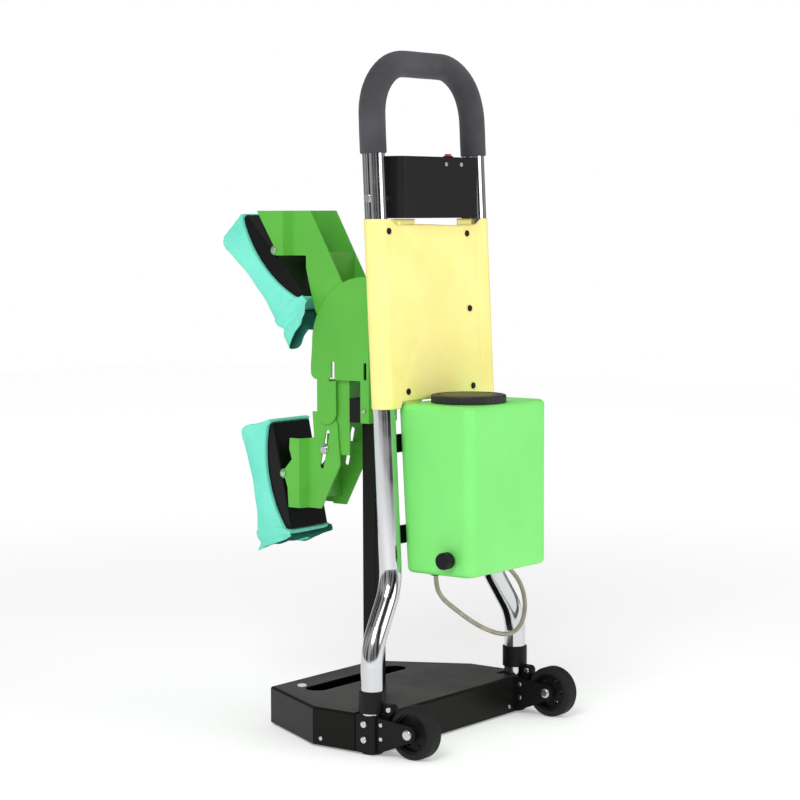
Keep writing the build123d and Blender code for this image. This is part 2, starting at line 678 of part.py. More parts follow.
def make_tank():
    """Hollow tank with its neck, screw lid, drain tap, outlet and carrying bars."""
    tank = tank_shape(0)
    neck_top = TANK_TOP_Z + NECK_HEIGHT
    tank += rod_z(NECK_RADIUS, NECK_HEIGHT + 2, LID_X, LID_Y, TANK_TOP_Z + NECK_HEIGHT / 2 - 1)
    tank -= tank_shape(TANK_WALL)
    tank -= rod_z(NECK_BORE, 2 * NECK_HEIGHT + 20, LID_X, LID_Y, TANK_TOP_Z)

    lid_low = TANK_TOP_Z + 0.6
    lid_top = lid_low + LID_HEIGHT
    lid = rod_z(LID_RADIUS, LID_HEIGHT, LID_X, LID_Y, (lid_low + lid_top) / 2)
    lid = fillet(lid.edges().sort_by(Axis.Z)[-1], 2.5)
    inner_top = neck_top + LID_GAP
    lid -= rod_z(NECK_RADIUS + LID_GAP, inner_top - lid_low + 2, LID_X, LID_Y,
                 (inner_top + lid_low) / 2 - 1)
    lid -= plan_solid(Pos(LID_X, LID_Y) * (Circle(LID_RADIUS - 7) - Circle(LID_RADIUS - 10)),
                      lid_top - 0.8, lid_top + 1)
    notches = Sketch() + PolarLocations(LID_RADIUS + 1.2, LID_RIBS) * Circle(2.0)
    lid -= plan_solid(Pos(LID_X, LID_Y) * notches, lid_low - 1, lid_top - 2.6)

    side = -TANK_HALF_WIDTH
    tap = rod_x(TAP_BODY_RADIUS, TAP_BODY_LENGTH, side - TAP_BODY_LENGTH / 2, TAP_Y, TAP_Z)
    spindle_length = 10.0
    knob_face = side - TAP_BODY_LENGTH
    spindle_radius = 3.0
    tap += rod_x(spindle_radius, spindle_length, knob_face - spindle_length / 2, TAP_Y, TAP_Z)
    knob = rod_x(TAP_KNOB_RADIUS, TAP_KNOB_LENGTH, knob_face - 0.3 - TAP_KNOB_LENGTH / 2,
                 TAP_Y, TAP_Z)
    knob = fillet(knob.edges().sort_by(Axis.X)[0], 3)
    knob -= rod_x(spindle_radius + AXLE_GAP, 2 * (spindle_length + 0.3), knob_face, TAP_Y, TAP_Z)
    flutes = Sketch() + PolarLocations(TAP_KNOB_RADIUS + 1.5, TAP_FLUTES) * Circle(2.6)
    flute_plane = Plane(origin=(knob_face - 1.5, TAP_Y, TAP_Z), z_dir=(-1, 0, 0))
    knob -= extrude(flute_plane * flutes, TAP_KNOB_LENGTH + 2)

    outlet = extrude(Plane.XY.offset(TANK_BOTTOM_Z - OUTLET_NUT_HEIGHT)
                     * Pos(OUTLET_X, OUTLET_Y) * RegularPolygon(OUTLET_NUT_RADIUS, 6),
                     OUTLET_NUT_HEIGHT)
    outlet -= rod_z(HOSE_RADIUS + HOSE_GAP, 2 * 4, OUTLET_X, OUTLET_Y, TANK_BOTTOM_Z - OUTLET_NUT_HEIGHT)

    return {
        "tank": tank,
        "tank_lid": lid,
        "drain_tap": tap,
        "drain_knob": knob,
        "tank_outlet": outlet,
        **make_tank_bars(),
    }


def make_tank_bars():
    """Flat bars between the stiles, shaped to them, with the bolts that hold the tank."""
    bars = []
    heads = []
    for z in BAR_Z:
        front_share = (z - TANK_BOTTOM_Z) / (TANK_TOP_Z - TANK_BOTTOM_Z)
        rise = TANK_FRONT_TOP_Y - TANK_FRONT_BOTTOM_Y
        tank_face = TANK_FRONT_BOTTOM_Y + rise * front_share
        top_share = BAR_HEIGHT / 2 / (TANK_TOP_Z - TANK_BOTTOM_Z)
        near = tank_face + rise * top_share + 0.3
        bar = block((-STILE_X, STILE_X), (near, near + BAR_THICK),
                    (z - BAR_HEIGHT / 2, z + BAR_HEIGHT / 2))
        for sign in (-1, 1):
            lower = (sign * STILE_X, stile_y(z - 60), z - 60)
            upper = (sign * STILE_X, stile_y(z + 60), z + 60)
            line = Line(lower, upper)
            hollow = Plane(origin=line @ 0, z_dir=line % 0) * Circle(TUBE_RADIUS + BAR_GAP)
            bar -= sweep(hollow, path=line)
        middle = max(bar.solids(), key=lambda solid: solid.volume)
        bars.append(middle)
        for sign in (-1, 1):
            head = rod_y(BAR_BOLT_RADIUS, 3, sign * BAR_BOLT_X, near + BAR_THICK + 1.5, z)
            heads.append(fillet(head.edges().sort_by(Axis.Y)[-1], 1.5).solid())
    return {
        "tank_bars": Compound(children=bars),
        "tank_bar_bolts": Compound(children=heads),
    }


def box_outline(inset):
    """Plan outline of the pump box with its rounded rear corners."""
    half = BOX_HALF_WIDTH - inset
    face = Polygon((-half, BOX_REAR_Y + inset), (half, BOX_REAR_Y + inset),
                   (half, BOX_FRONT_Y - BOX_COVER_THICK), (-half, BOX_FRONT_Y - BOX_COVER_THICK),
                   align=None)
    rear = face.vertices().sort_by(Axis.Y)[:2]
    return fillet(rear, BOX_CORNER - inset)


def make_box():
    """Pump box: shell, front cover, pump, battery, board, start button, gland and bolts."""
    shell = plan_solid(box_outline(0), BOX_BOTTOM_Z, BOX_TOP_Z)
    shell = fillet(shell.faces().sort_by(Axis.Z)[-1].edges().sort_by(Axis.Y)[:-1], 2)
    inside_front = BOX_FRONT_Y + 1
    room = plan_solid(box_outline(BOX_WALL), BOX_BOTTOM_Z + BOX_WALL, BOX_TOP_Z - BOX_WALL)
    half_room = BOX_HALF_WIDTH - BOX_WALL
    room += block((-half_room, half_room), (BOX_FRONT_Y - 12, inside_front),
                  (BOX_BOTTOM_Z + BOX_WALL, BOX_TOP_Z - BOX_WALL))
    shell -= room
    bore = BUTTON_RADIUS + BUTTON_GAP
    shell -= rod_z(bore, 20, BUTTON_X, BUTTON_Y, BOX_TOP_Z)
    cover = block((-BOX_HALF_WIDTH, BOX_HALF_WIDTH), (BOX_FRONT_Y - BOX_COVER_THICK, BOX_FRONT_Y),
                  (BOX_BOTTOM_Z, BOX_TOP_Z))
    cover = fillet(cover.edges().filter_by(Axis.Y), 3)

    bezel = plan_solid(Pos(BUTTON_X, BUTTON_Y) * (Circle(BEZEL_RADIUS) - Circle(bore)),
                       BOX_TOP_Z, BOX_TOP_Z + BEZEL_HEIGHT)
    button_low = BOX_TOP_Z - BOX_WALL - 2
    button_high = BOX_TOP_Z + BEZEL_HEIGHT + BUTTON_PROUD
    button = rod_z(BUTTON_RADIUS, button_high - button_low, BUTTON_X, BUTTON_Y,
                   (button_high + button_low) / 2)
    button = fillet(button.edges().sort_by(Axis.Z)[-1], 1.5)

    floor = BOX_BOTTOM_Z + BOX_WALL
    pump_y = (BOX_REAR_Y + BOX_FRONT_Y) / 2 + 2
    pump = block((PUMP_X, PUMP_X + PUMP_LENGTH), (pump_y - PUMP_HALF, pump_y + PUMP_HALF),
                 (floor, floor + PUMP_HEIGHT))
    pump += rod_x(PUMP_HEIGHT / 2 - 1, MOTOR_LENGTH, PUMP_X + PUMP_LENGTH + MOTOR_LENGTH / 2,
                  pump_y, floor + PUMP_HEIGHT / 2)
    battery_rear = BOX_REAR_Y + BATTERY_INSET
    battery = block((-BOX_HALF_WIDTH + 10, -BOX_HALF_WIDTH + 10 + BATTERY_LENGTH),
                    (battery_rear, battery_rear + BATTERY_DEPTH), (floor, floor + BATTERY_HEIGHT))
    battery = fillet(battery.edges().filter_by(Axis.Z), 3)
    board_rear = BOX_REAR_Y + 12
    board = block((BOARD_X, BOARD_X + BOARD_WIDTH), (board_rear, board_rear + BOARD_DEPTH),
                  (floor, floor + BOARD_THICK))
    board += block((BOARD_X + 5, BOARD_X + 12), (board_rear + 4, board_rear + 18),
                   (floor + BOARD_THICK, floor + 12))

    gland = rod_z(GLAND_RADIUS, GLAND_HEIGHT, GLAND_X, GLAND_Y, BOX_BOTTOM_Z - GLAND_HEIGHT / 2)
    gland = chamfer(gland.edges().sort_by(Axis.Z)[0], 2)
    gland -= rod_z(HOSE_RADIUS + HOSE_GAP, 20, GLAND_X, GLAND_Y, BOX_BOTTOM_Z - 20)

    bolts = []
    spacer_low = BOX_HALF_WIDTH
    spacer_y = stile_y(BOX_BOLT_Z)
    for sign in (-1, 1):
        stile_side = STILE_X - TUBE_RADIUS
        middle = sign * (spacer_low + stile_side) / 2
        spacer = rod_x(BOX_BOLT_RADIUS, stile_side - spacer_low, middle, spacer_y, BOX_BOLT_Z)
        head_x = sign * (STILE_X + TUBE_RADIUS + BOX_BOLT_HEAD / 2)
        head = rod_x(BOX_BOLT_RADIUS - 0.5, BOX_BOLT_HEAD, head_x, spacer_y, BOX_BOLT_Z)
        bolts.append(spacer.solid())
        bolts.append(head.solid())
    screws = []
    for x in (BUTTON_X - 18.5, BUTTON_X + 18.5):
        screw = rod_y(SMALL_SCREW_RADIUS, 1.8, x, BOX_REAR_Y - 0.9, BOX_TOP_Z - 10.5)
        screws.append(fillet(screw.edges().sort_by(Axis.Y)[0], 1).solid())

    return {
        "box_shell": shell + bezel,
        "box_cover": cover,
        "start_button": button,
        "pump": pump,
        "battery": battery,
        "control_board": board,
        "hose_gland": gland,
        "box_side_bolts": Compound(children=bolts),
        "box_screws": Compound(children=screws),
    }


def banner_line():
    """Plan line of the banner round both stiles, with a flap in front of each."""
    round_radius = TUBE_RADIUS + BANNER_CLEAR + BANNER_THICK / 2
    panel_y = -round_radius
    flap_y = panel_y + BANNER_THICK + BANNER_CLEAR
    reach_x = BANNER_BEND_X - STILE_X
    distance = math.hypot(reach_x, flap_y)
    to_bend = math.degrees(math.atan2(flap_y, reach_x)) % 360
    tangent = to_bend - math.degrees(math.acos(round_radius / distance))
    start = (BANNER_FLAP_X, flap_y)
    bend = (BANNER_BEND_X, flap_y)
    touch = (STILE_X + round_radius * math.cos(math.radians(tangent)),
             round_radius * math.sin(math.radians(tangent)))
    right = [
        Line(start, bend),
        Line(bend, touch),
        CenterArc((STILE_X, 0), round_radius, -90, tangent + 90),
    ]
    left = [mirror(edge, about=Plane.YZ) for edge in right]
    panel = Line((-STILE_X, panel_y), (STILE_X, panel_y))
    return Wire([edge.edge() for edge in (*right, panel, *left)])


def make_banner():
    """Vinyl banner sheared along the leaning stiles, and its black snap fasteners."""
    lean = math.tan(math.radians(STILE_LEAN))
    section = Pos(0, stile_y(BANNER_BOTTOM_Z), BANNER_BOTTOM_Z) * trace(banner_line(), BANNER_THICK)
    height = BANNER_TOP_Z - BANNER_BOTTOM_Z
    along = Vector(0, lean, 1)
    banner = extrude(section, height * along.length, dir=along.normalized())
    tank_side = TANK_HALF_WIDTH + 1
    banner -= block((-tank_side, tank_side), (-20, 60), (BANNER_BOTTOM_Z - 1, BANNER_TANK_Z))
    dip = Polygon((-BANNER_DIP_X - 6, BANNER_TOP_Z + 1), (-BANNER_DIP_X, BANNER_DIP_Z + 4),
                  (-60, BANNER_DIP_Z + 1), (60, BANNER_DIP_Z), (BANNER_DIP_X - 4, BANNER_DIP_Z),
                  (BANNER_DIP_X + 4, BANNER_DIP_Z + 5), (BANNER_DIP_X + 7, BANNER_TOP_Z + 1),
                  align=None)
    banner -= extrude(Plane.XZ * dip, -80)
    snaps = []
    rear = -(TUBE_RADIUS + BANNER_CLEAR + BANNER_THICK)
    for x, z in SNAP_PLACES:
        head = rod_y(SNAP_RADIUS, 2, x, stile_y(z) + rear - 1.2, z)
        snaps.append(fillet(head.edges().sort_by(Axis.Y)[0], 1.2).solid())
    return {"banner": banner, "banner_snaps": Compound(children=snaps)}


def make_post():
    """Square post with its end cap and the small stop screw on its front."""
    post = plan_solid(post_outline(), POST_BOTTOM_Z, POST_TOP_Z)
    post -= plan_solid(post_outline(-POST_WALL), POST_BOTTOM_Z - 1, POST_TOP_Z + 1)
    cap = plan_solid(post_outline(), POST_TOP_Z, POST_TOP_Z + 4)
    cap = fillet(cap.faces().sort_by(Axis.Z)[-1].edges(), 1.5)
    cap += plan_solid(post_outline(-POST_WALL - 0.2), POST_TOP_Z - 12, POST_TOP_Z)
    front = POST_Y + POST_SIDE / 2
    screw = rod_y(SMALL_SCREW_RADIUS, 2.4, 0, front + 1.2, POST_DOT_Z)
    screw = fillet(screw.edges().sort_by(Axis.Y)[-1], 1.4)
    return {"post": post, "post_cap": cap, "post_stop_screw": screw}


def carrier_face():
    """Side outline of the carrier with its arched top, window, arm and relief slots."""
    rear = CARRIER_REAR_Y
    top = CARRIER_ARC_Z + CARRIER_ARC_RADIUS
    front = CARRIER_ARC_Y + CARRIER_ARC_RADIUS
    face = side_face((
        (rear, STRIP_END_Z), (WINDOW_REAR_Y, STRIP_END_Z), (WINDOW_REAR_Y, WINDOW_TOP_Z),
        (ARM_REAR_Y, WINDOW_TOP_Z), (ARM_REAR_Y, ARM_END_Z), (ARM_FRONT_Y, ARM_END_Z),
        (ARM_FRONT_Y, WINDOW_TOP_Z), (front + SHOULDER_OUT, WINDOW_TOP_Z),
        (front + SHOULDER_OUT, SHOULDER_Z), (front, CARRIER_ARC_Z - 2), (front, top), (rear, top),
    ))
    corners = face.vertices()
    arch = [v for v in corners if v.X > front - 1 and v.Y > top - 1]
    face = fillet(arch, CARRIER_ARC_RADIUS - 0.5)
    arm_tip = [v for v in face.vertices() if v.X > ARM_REAR_Y - 1 and v.Y < ARM_END_Z + 1]
    face = fillet(arm_tip, (ARM_FRONT_Y - ARM_REAR_Y) / 2 - 0.5)
    shoulder = [v for v in face.vertices() if v.X > front + 1 and v.Y < WINDOW_TOP_Z + 1]
    face = fillet(shoulder, SHOULDER_RADIUS)

    slot_top = WINDOW_TOP_Z + RELIEF_HEIGHT
    for low_y, low_z in ((RELIEF_FRONT_Y, WINDOW_TOP_Z - 2), (RELIEF_REAR_Y, WINDOW_TOP_Z + 2)):
        high_y = low_y + RELIEF_WIDTH
        face -= side_face(((low_y, low_z), (high_y, low_z), (high_y, slot_top), (low_y, slot_top)))
    hook_low = WINDOW_TOP_Z - 2
    hook_high = WINDOW_TOP_Z + 3
    hook_front = RELIEF_FRONT_Y + RELIEF_WIDTH + 5
    face -= side_face(((ARM_REAR_Y - 1, hook_low), (hook_front, hook_low),
                       (hook_front, hook_high), (ARM_REAR_Y - 1, hook_high)))
    return face


def make_carrier():
    """Channel round the post, its guide blocks and the bolts that hold them."""
    outer = PLATE_X
    plate = side_plate(carrier_face(), -outer, -outer + SHEET)
    tab = block((-outer + SHEET, -outer + SHEET + TAB_DEPTH),
                (WINDOW_REAR_Y + 1, ARM_REAR_Y - 1), (WINDOW_TOP_Z, WINDOW_TOP_Z + SHEET))
    half = plate + tab
    web = block((-outer, outer), (CARRIER_REAR_Y - SHEET, CARRIER_REAR_Y),
                (STRIP_END_Z, CARRIER_ARC_Z + CARRIER_ARC_RADIUS))
    carrier = half + mirror(half, about=Plane.YZ) + web

    guides = []
    bolts = []
    inner = outer - SHEET
    hole = post_outline(GUIDE_GAP)
    guide_front = POST_Y + POST_SIDE / 2 + GUIDE_PAST_POST
    for z in GUIDE_Z:
        low = z - GUIDE_HEIGHT / 2
        guide = block((-inner, inner), (CARRIER_REAR_Y, guide_front), (low, low + GUIDE_HEIGHT))
        guide -= plan_solid(hole, low - 1, low + GUIDE_HEIGHT + 1)
        guides.append(guide.solid())
    z = GUIDE_Z[0]
    bolt_y = CARRIER_REAR_Y + GUIDE_BOLT_IN
    bolt_x = -outer - GUIDE_BOLT_HEIGHT / 2
    head = rod_x(GUIDE_BOLT_RADIUS, GUIDE_BOLT_HEIGHT, bolt_x, bolt_y, z)
    head = fillet(head.edges().sort_by(Axis.X)[0], GUIDE_BOLT_ROUND)
    bolts += [head.solid(), mirror(head, about=Plane.YZ).solid()]
    return {
        "head_carrier": carrier,
        "post_guides": Compound(children=guides),
        "guide_bolts": Compound(children=bolts),
    }


def winged_bracket(main_face, ear_face, bend_y, wing_low, wing_high, x_outer):
    """One bracket plate: a main plate, a riser bent outward and an ear beside the holder."""
    main = side_plate(main_face, -x_outer, -x_outer + SHEET)
    ear_inner = HOLDER_HALF_WIDTH + HOLDER_EAR_GAP
    ear = side_plate(ear_face, -ear_inner - SHEET, -ear_inner)
    riser_face = Polygon(
        (-x_outer + SHEET, bend_y), (-x_outer, bend_y - 0.8),
        (-ear_inner - SHEET, bend_y + EAR_RISE_Y - 0.8), (-ear_inner - SHEET, bend_y + EAR_RISE_Y + 1.5),
        (-ear_inner, bend_y + EAR_RISE_Y + 1.5), (-ear_inner, bend_y + EAR_RISE_Y),
        (-x_outer + SHEET, bend_y + 1.2),
        align=None)
    riser = plan_solid(riser_face, wing_low, wing_high)
    plate = main + riser + ear
    return plate


def make_upper_bracket():
    """Upper bracket: two joggled plates joined by a cross piece, fixed in the carrier."""
    x_outer = PLATE_X - SHEET - NEST_GAP
    low_y, low_z = UPPER_REAR_LOW
    main = side_face((
        (UPPER_REAR_TOP_Y, UPPER_TOP_Z), (low_y, low_z), (low_y + 18, low_z - 24),
        (low_y + 68, low_z - 13), (low_y + 78, low_z + 3), (UPPER_FRONT_Y - 8.5, low_z + 33),
        (UPPER_FRONT_Y, UPPER_WING_Z - 18.5), (UPPER_FRONT_Y, UPPER_WING_Z),
        (UPPER_BEND_Y, UPPER_WING_Z), (UPPER_BEND_Y, UPPER_TOP_Z),
    ))
    pivot_y, pivot_z = UPPER_PIVOT
    ear_start = UPPER_BEND_Y + EAR_RISE_Y
    ear = side_face((
        (ear_start, UPPER_WING_Z), (ear_start, UPPER_TOP_Z), (UPPER_EAR_TOP_Y, UPPER_TOP_Z),
        (pivot_y, pivot_z + 5), (pivot_y - 3, UPPER_WING_Z),
    ))
    ear += Pos(pivot_y, pivot_z) * Circle(LUG_RADIUS)
    ear -= Pos(pivot_y, pivot_z) * Circle(PIVOT_RADIUS + PIVOT_GAP)
    plate = winged_bracket(main, ear, UPPER_BEND_Y, UPPER_WING_Z, UPPER_TOP_Z, x_outer)
    cross = block((-x_outer + SHEET, x_outer - SHEET), (low_y + 50, low_y + 53),
                  (low_z + 31, low_z + 91))
    return plate + mirror(plate, about=Plane.YZ) + cross


def make_lower_bracket():
    """Lower bracket: two joggled plates with long slots, joined by a cross piece."""
    x_outer = PLATE_X - SHEET - NEST_GAP
    front = LOWER_BEND_Y
    bolt_y, bolt_z = SLOT_BOLT
    peak = bolt_z + 56
    main = side_face((
        (bolt_y + 23.5, peak), (bolt_y - 15.5, peak), (bolt_y - 24.5, peak - 18),
        (bolt_y - 29.5, bolt_z - 22), (front - 24, LOWER_BOTTOM_Z), (front, LOWER_BOTTOM_Z),
        (front, LOWER_TOP_Z), (front - 11, LOWER_TOP_Z + 2),
    ))
    slot = Pos(bolt_y, bolt_z) * Rot(0, 0, 90 + LOWER_TILT) * SlotOverall(
        BRACKET_SLOT_LENGTH, BRACKET_SLOT_WIDTH)
    main -= slot
    pivot_y, pivot_z = LOWER_PIVOT
    ear_start = front + EAR_RISE_Y
    ear = side_face((
        (ear_start, LOWER_BOTTOM_Z), (LOWER_FRONT_Y + 2, LOWER_BOTTOM_Z),
        (LOWER_FRONT_Y + 4, pivot_z - 20.5), (pivot_y - 3, pivot_z - 8),
        (pivot_y - 3, pivot_z + 8), (LOWER_FRONT_Y - 5, pivot_z + 22.5),
        (LOWER_FRONT_Y, LOWER_TOP_Z - 16), (LOWER_FRONT_Y - 1, LOWER_TOP_Z),
        (ear_start, LOWER_TOP_Z),
    ))
    ear += Pos(pivot_y, pivot_z) * Circle(LUG_RADIUS)
    ear -= Pos(pivot_y, pivot_z) * Circle(PIVOT_RADIUS + PIVOT_GAP)
    plate = winged_bracket(main, ear, front, LOWER_BOTTOM_Z, LOWER_TOP_Z, x_outer)
    cross = block((-x_outer + SHEET, x_outer - SHEET), (front - 17, front - 14),
                  (LOWER_BOTTOM_Z + 15, LOWER_BOTTOM_Z + 57))
    return plate + mirror(plate, about=Plane.YZ) + cross


def make_lower_mount():
    """Inner channel under the carrier that takes the slot bolts, with its bolts."""
    bolt_y, bolt_z = SLOT_BOLT
    plate_inner = PLATE_X - 2 * SHEET - 2 * NEST_GAP
    top = WINDOW_TOP_Z - MOUNT_GAP
    low = bolt_z - 7
    nose = bolt_y + 10.5
    leg_front = bolt_y - 17.5
    shoulder = bolt_z + 38
    wall = side_face((
        (MOUNT_REAR_Y, low), (nose, low), (nose, bolt_z + 8), (leg_front, bolt_z + 8),
        (leg_front, shoulder), (MOUNT_FRONT_Y, shoulder + 14), (MOUNT_FRONT_Y, top),
        (MOUNT_REAR_Y, top),
    ))
    side = side_plate(wall, -plate_inner + NEST_GAP, -plate_inner + NEST_GAP + SHEET)
    bridge = block((-plate_inner + NEST_GAP, plate_inner - NEST_GAP),
                   (MOUNT_REAR_Y, MOUNT_FRONT_Y), (top - SHEET, top))
    mount = side + mirror(side, about=Plane.YZ) + bridge
    head_x = PLATE_X - SHEET - NEST_GAP
    washer = rod_x(SLOT_BOLT_HEAD + 1.2, 1.2, -head_x - 0.9, bolt_y, bolt_z)
    head = rod_x(SLOT_BOLT_HEAD, 3.4, -head_x - 3.0, bolt_y, bolt_z)
    head = fillet(head.edges().sort_by(Axis.X)[0], 2)
    shank_in = plate_inner - NEST_GAP
    shank = rod_x(BRACKET_SLOT_WIDTH / 2 - 0.4, head_x + 0.5 - shank_in,
                  -(head_x + 0.5 + shank_in) / 2, bolt_y, bolt_z)
    return {"lower_mount": mount, "slot_bolts": pair(washer + head + shank)}


def head_place(pivot, tilt):
    """Place of a head: its own Y points to the handrail and its own Z runs up the head."""
    return Pos(0, pivot[0], pivot[1]) * Rot(-tilt, 0, 0)


def arc_face(low, high, back, grow=0.0):
    """Side outline of the holder walls: straight at the back, arched at the front."""
    centre = HOLDER_ARC_PEAK + grow - HOLDER_ARC_RADIUS
    disc = Pos(centre, HOLDER_ARC_SHIFT) * Circle(HOLDER_ARC_RADIUS)
    span = side_face(((back, low), (HOLDER_ARC_PEAK + 10, low), (HOLDER_ARC_PEAK + 10, high),
                      (back, high)))
    return disc & span


def make_holder():
    """Moulded tray of a head: arched side walls, flat back and two pivot lugs."""
    half = HOLDER_HALF_WIDTH
    body = side_plate(arc_face(HOLDER_LOW, HOLDER_HIGH, HOLDER_BACK), -half, half)
    back_edges = body.edges().filter_by(Axis.Z).group_by(Axis.Y)[0]
    body = fillet(back_edges, 2.5)
    room = half - HOLDER_WALL
    body -= block((-room, room), (HOLDER_BACK + HOLDER_WALL, 60),
                  (HOLDER_LOW + HOLDER_WALL, HOLDER_HIGH - HOLDER_WALL))
    lug_thick = 6.0
    lug_face = Circle(LUG_RADIUS - 0.5) + Pos((HOLDER_BACK + 1) / 2, 0) * Rectangle(
        HOLDER_BACK + 1, 2 * LUG_RADIUS - 1)
    lug_face -= Circle(PIVOT_RADIUS + PIVOT_GAP)
    lug = side_plate(lug_face, -half, -half + lug_thick)
    lug -= block((-room, room), (HOLDER_BACK + HOLDER_WALL, 60), (-20, 20))
    bore = rod_x(PIVOT_RADIUS + PIVOT_GAP, 3 * half, 0, 0, 0)
    return body + lug + mirror(lug, about=Plane.YZ) - bore


def make_pad():
    """Sponge pad: a core in the tray and two walls beside the handrail groove."""
    core_half = HOLDER_HALF_WIDTH - HOLDER_WALL - PAD_GAP
    wide = CLOTH_HALF_WIDTH - CLOTH_THICK - PAD_GAP
    groove = GROOVE_HALF + CLOTH_THICK + PAD_GAP
    tip = CLOTH_FRONT - CLOTH_THICK - 8
    back = HOLDER_BACK + HOLDER_WALL + PAD_GAP
    seat = HOLDER_ARC_PEAK + 0.6
    floor = GROOVE_BOTTOM - CLOTH_THICK - PAD_GAP
    right = [(core_half, back), (core_half, seat), (wide, seat), (wide, tip), (groove, tip),
             (groove, floor)]
    left = [(-x, y) for x, y in reversed(right)]
    face = Polygon(*right, *left, align=None)
    low = HOLDER_LOW + HOLDER_WALL + PAD_GAP
    high = HOLDER_HIGH - HOLDER_WALL - PAD_GAP
    return plan_solid(face, low, high)


def make_cloth():
    """Cleaning cloth over the pad: hollowed front, handrail groove and gathered ends."""
    half = CLOTH_HALF_WIDTH
    outer = side_plate(side_face((
        (0, CLOTH_LOW), (CLOTH_FRONT, CLOTH_LOW), (CLOTH_FRONT, CLOTH_HIGH), (0, CLOTH_HIGH),
    )), -half, half)
    front_edges = outer.edges().filter_by(Axis.X).group_by(Axis.Y)[-1].sort_by(Axis.Z)
    outer = fillet(front_edges[-1], CLOTH_TOP_CORNER)
    front_edges = outer.edges().filter_by(Axis.X).group_by(Axis.Y)[-1].sort_by(Axis.Z)
    outer = fillet(front_edges[0], CLOTH_LOW_CORNER)
    middle = (CLOTH_LOW + CLOTH_HIGH) / 2
    hollow_depth = (CLOTH_HIGH - CLOTH_LOW) ** 2 / (8 * CLOTH_HOLLOW)
    hollow = rod_x(CLOTH_HOLLOW, 4 * half, 0, CLOTH_FRONT + CLOTH_HOLLOW - hollow_depth, middle)
    outer -= hollow
    below = arc_face(-140, 140, -40, grow=0.5)
    behind = side_plate(below, -half - 1, half + 1)
    side_cut = block((-half - 1, half + 1), (-40, 60), (HOLDER_LOW - 0.4, HOLDER_HIGH + 0.4))
    outer -= behind & side_cut
    lap_span = (-1, HOLDER_BACK + CLOTH_LAP)
    for end_span in ((CLOTH_LOW - 1, HOLDER_LOW - 0.4), (HOLDER_HIGH + 0.4, CLOTH_HIGH + 1)):
        outer -= block((-half - 1, half + 1), lap_span, end_span)
    groove = block((-GROOVE_HALF, GROOVE_HALF), (GROOVE_BOTTOM, CLOTH_FRONT + 20),
                   (CLOTH_LOW - 1, CLOTH_HIGH + 1))
    outer -= groove
    return outer - pad_cavity()


def pad_cavity():
    """Room for the pad inside the cloth, a clearance larger than the pad all round."""
    grow = PAD_GAP
    core_half = HOLDER_HALF_WIDTH - HOLDER_WALL - PAD_GAP
    wide = CLOTH_HALF_WIDTH - CLOTH_THICK
    groove = GROOVE_HALF + CLOTH_THICK
    tip = CLOTH_FRONT - CLOTH_THICK - 8 + grow
    floor = GROOVE_BOTTOM - CLOTH_THICK
    seat = HOLDER_ARC_PEAK + 0.6 - grow
    right = [(core_half + grow, -5), (core_half + grow, seat), (wide, seat), (wide, tip),
             (groove, tip), (groove, floor)]
    left = [(-x, y) for x, y in reversed(right)]
    face = Polygon(*right, *left, align=None)
    low = HOLDER_LOW + HOLDER_WALL
    high = HOLDER_HIGH - HOLDER_WALL
    return plan_solid(face, low, high)


def make_pivots():
    """Pivot screws through the bracket ears into the holder lugs."""
    ear_outer = HOLDER_HALF_WIDTH + HOLDER_EAR_GAP + SHEET
    inner = HOLDER_HALF_WIDTH - 6.0
    shank = rod_x(PIVOT_RADIUS, ear_outer + 0.3 - inner, -(ear_outer + 0.3 + inner) / 2, 0, 0)
    head = rod_x(PIVOT_HEAD_RADIUS, PIVOT_HEAD_HEIGHT,
                 -ear_outer - 0.3 - PIVOT_HEAD_HEIGHT / 2, 0, 0)
    head = fillet(head.edges().sort_by(Axis.X)[0], 1.4)
    return pair(shank + head)


def make_heads():
    """Both cleaning heads, alike but for their place and tilt."""
    parts = {}
    holder = make_holder()
    pad = make_pad()
    cloth = make_cloth()
    pivots = make_pivots()
    for name, pivot, tilt in (("upper", UPPER_PIVOT, UPPER_TILT), ("lower", LOWER_PIVOT, LOWER_TILT)):
        place = head_place(pivot, tilt)
        parts[f"{name}_pad_holder"] = place * holder
        parts[f"{name}_sponge_pad"] = place * pad
        parts[f"{name}_cleaning_cloth"] = place * cloth
        parts[f"{name}_pivot_screws"] = place * pivots
    return parts


def hose_radii(points):
    """Largest tangent arc at each corner of the hose's route."""
    radii = []
    for before, here, after in zip(points, points[1:], points[2:]):
        first = Vector(*here) - Vector(*before)
        second = Vector(*after) - Vector(*here)
        turn = math.radians(first.get_angle(second))
        radii.append(0.45 * min(first.length, second.length) / math.tan(turn / 2))
    return radii


def make_hose():
    """Supply hose as a tube of straight runs joined by tangent arcs."""
    radii = hose_radii(HOSE_ROUTE)
    path = FilletPolyline(*HOSE_ROUTE, radius=radii)
    section = Plane(origin=path @ 0, z_dir=path % 0) * Circle(HOSE_RADIUS)
    hose = sweep(section, path=path)
    ideal = math.pi * HOSE_RADIUS ** 2 * path.length
    print("hose radii", [round(radius) for radius in radii])
    print("hose length", round(path.length, 1), "volume ratio", round(hose.volume / ideal, 4))
    return {"supply_hose": hose}


def write_parts(parts):
    """Shift every part to the model's origin and write it to its own file."""
    os.makedirs("parts", exist_ok=True)
    for name, shape in parts.items():
        placed = Pos(0, -ORIGIN_Y, 0) * shape
        placed.label = name
        export_step(placed, f"parts/{name}.step")


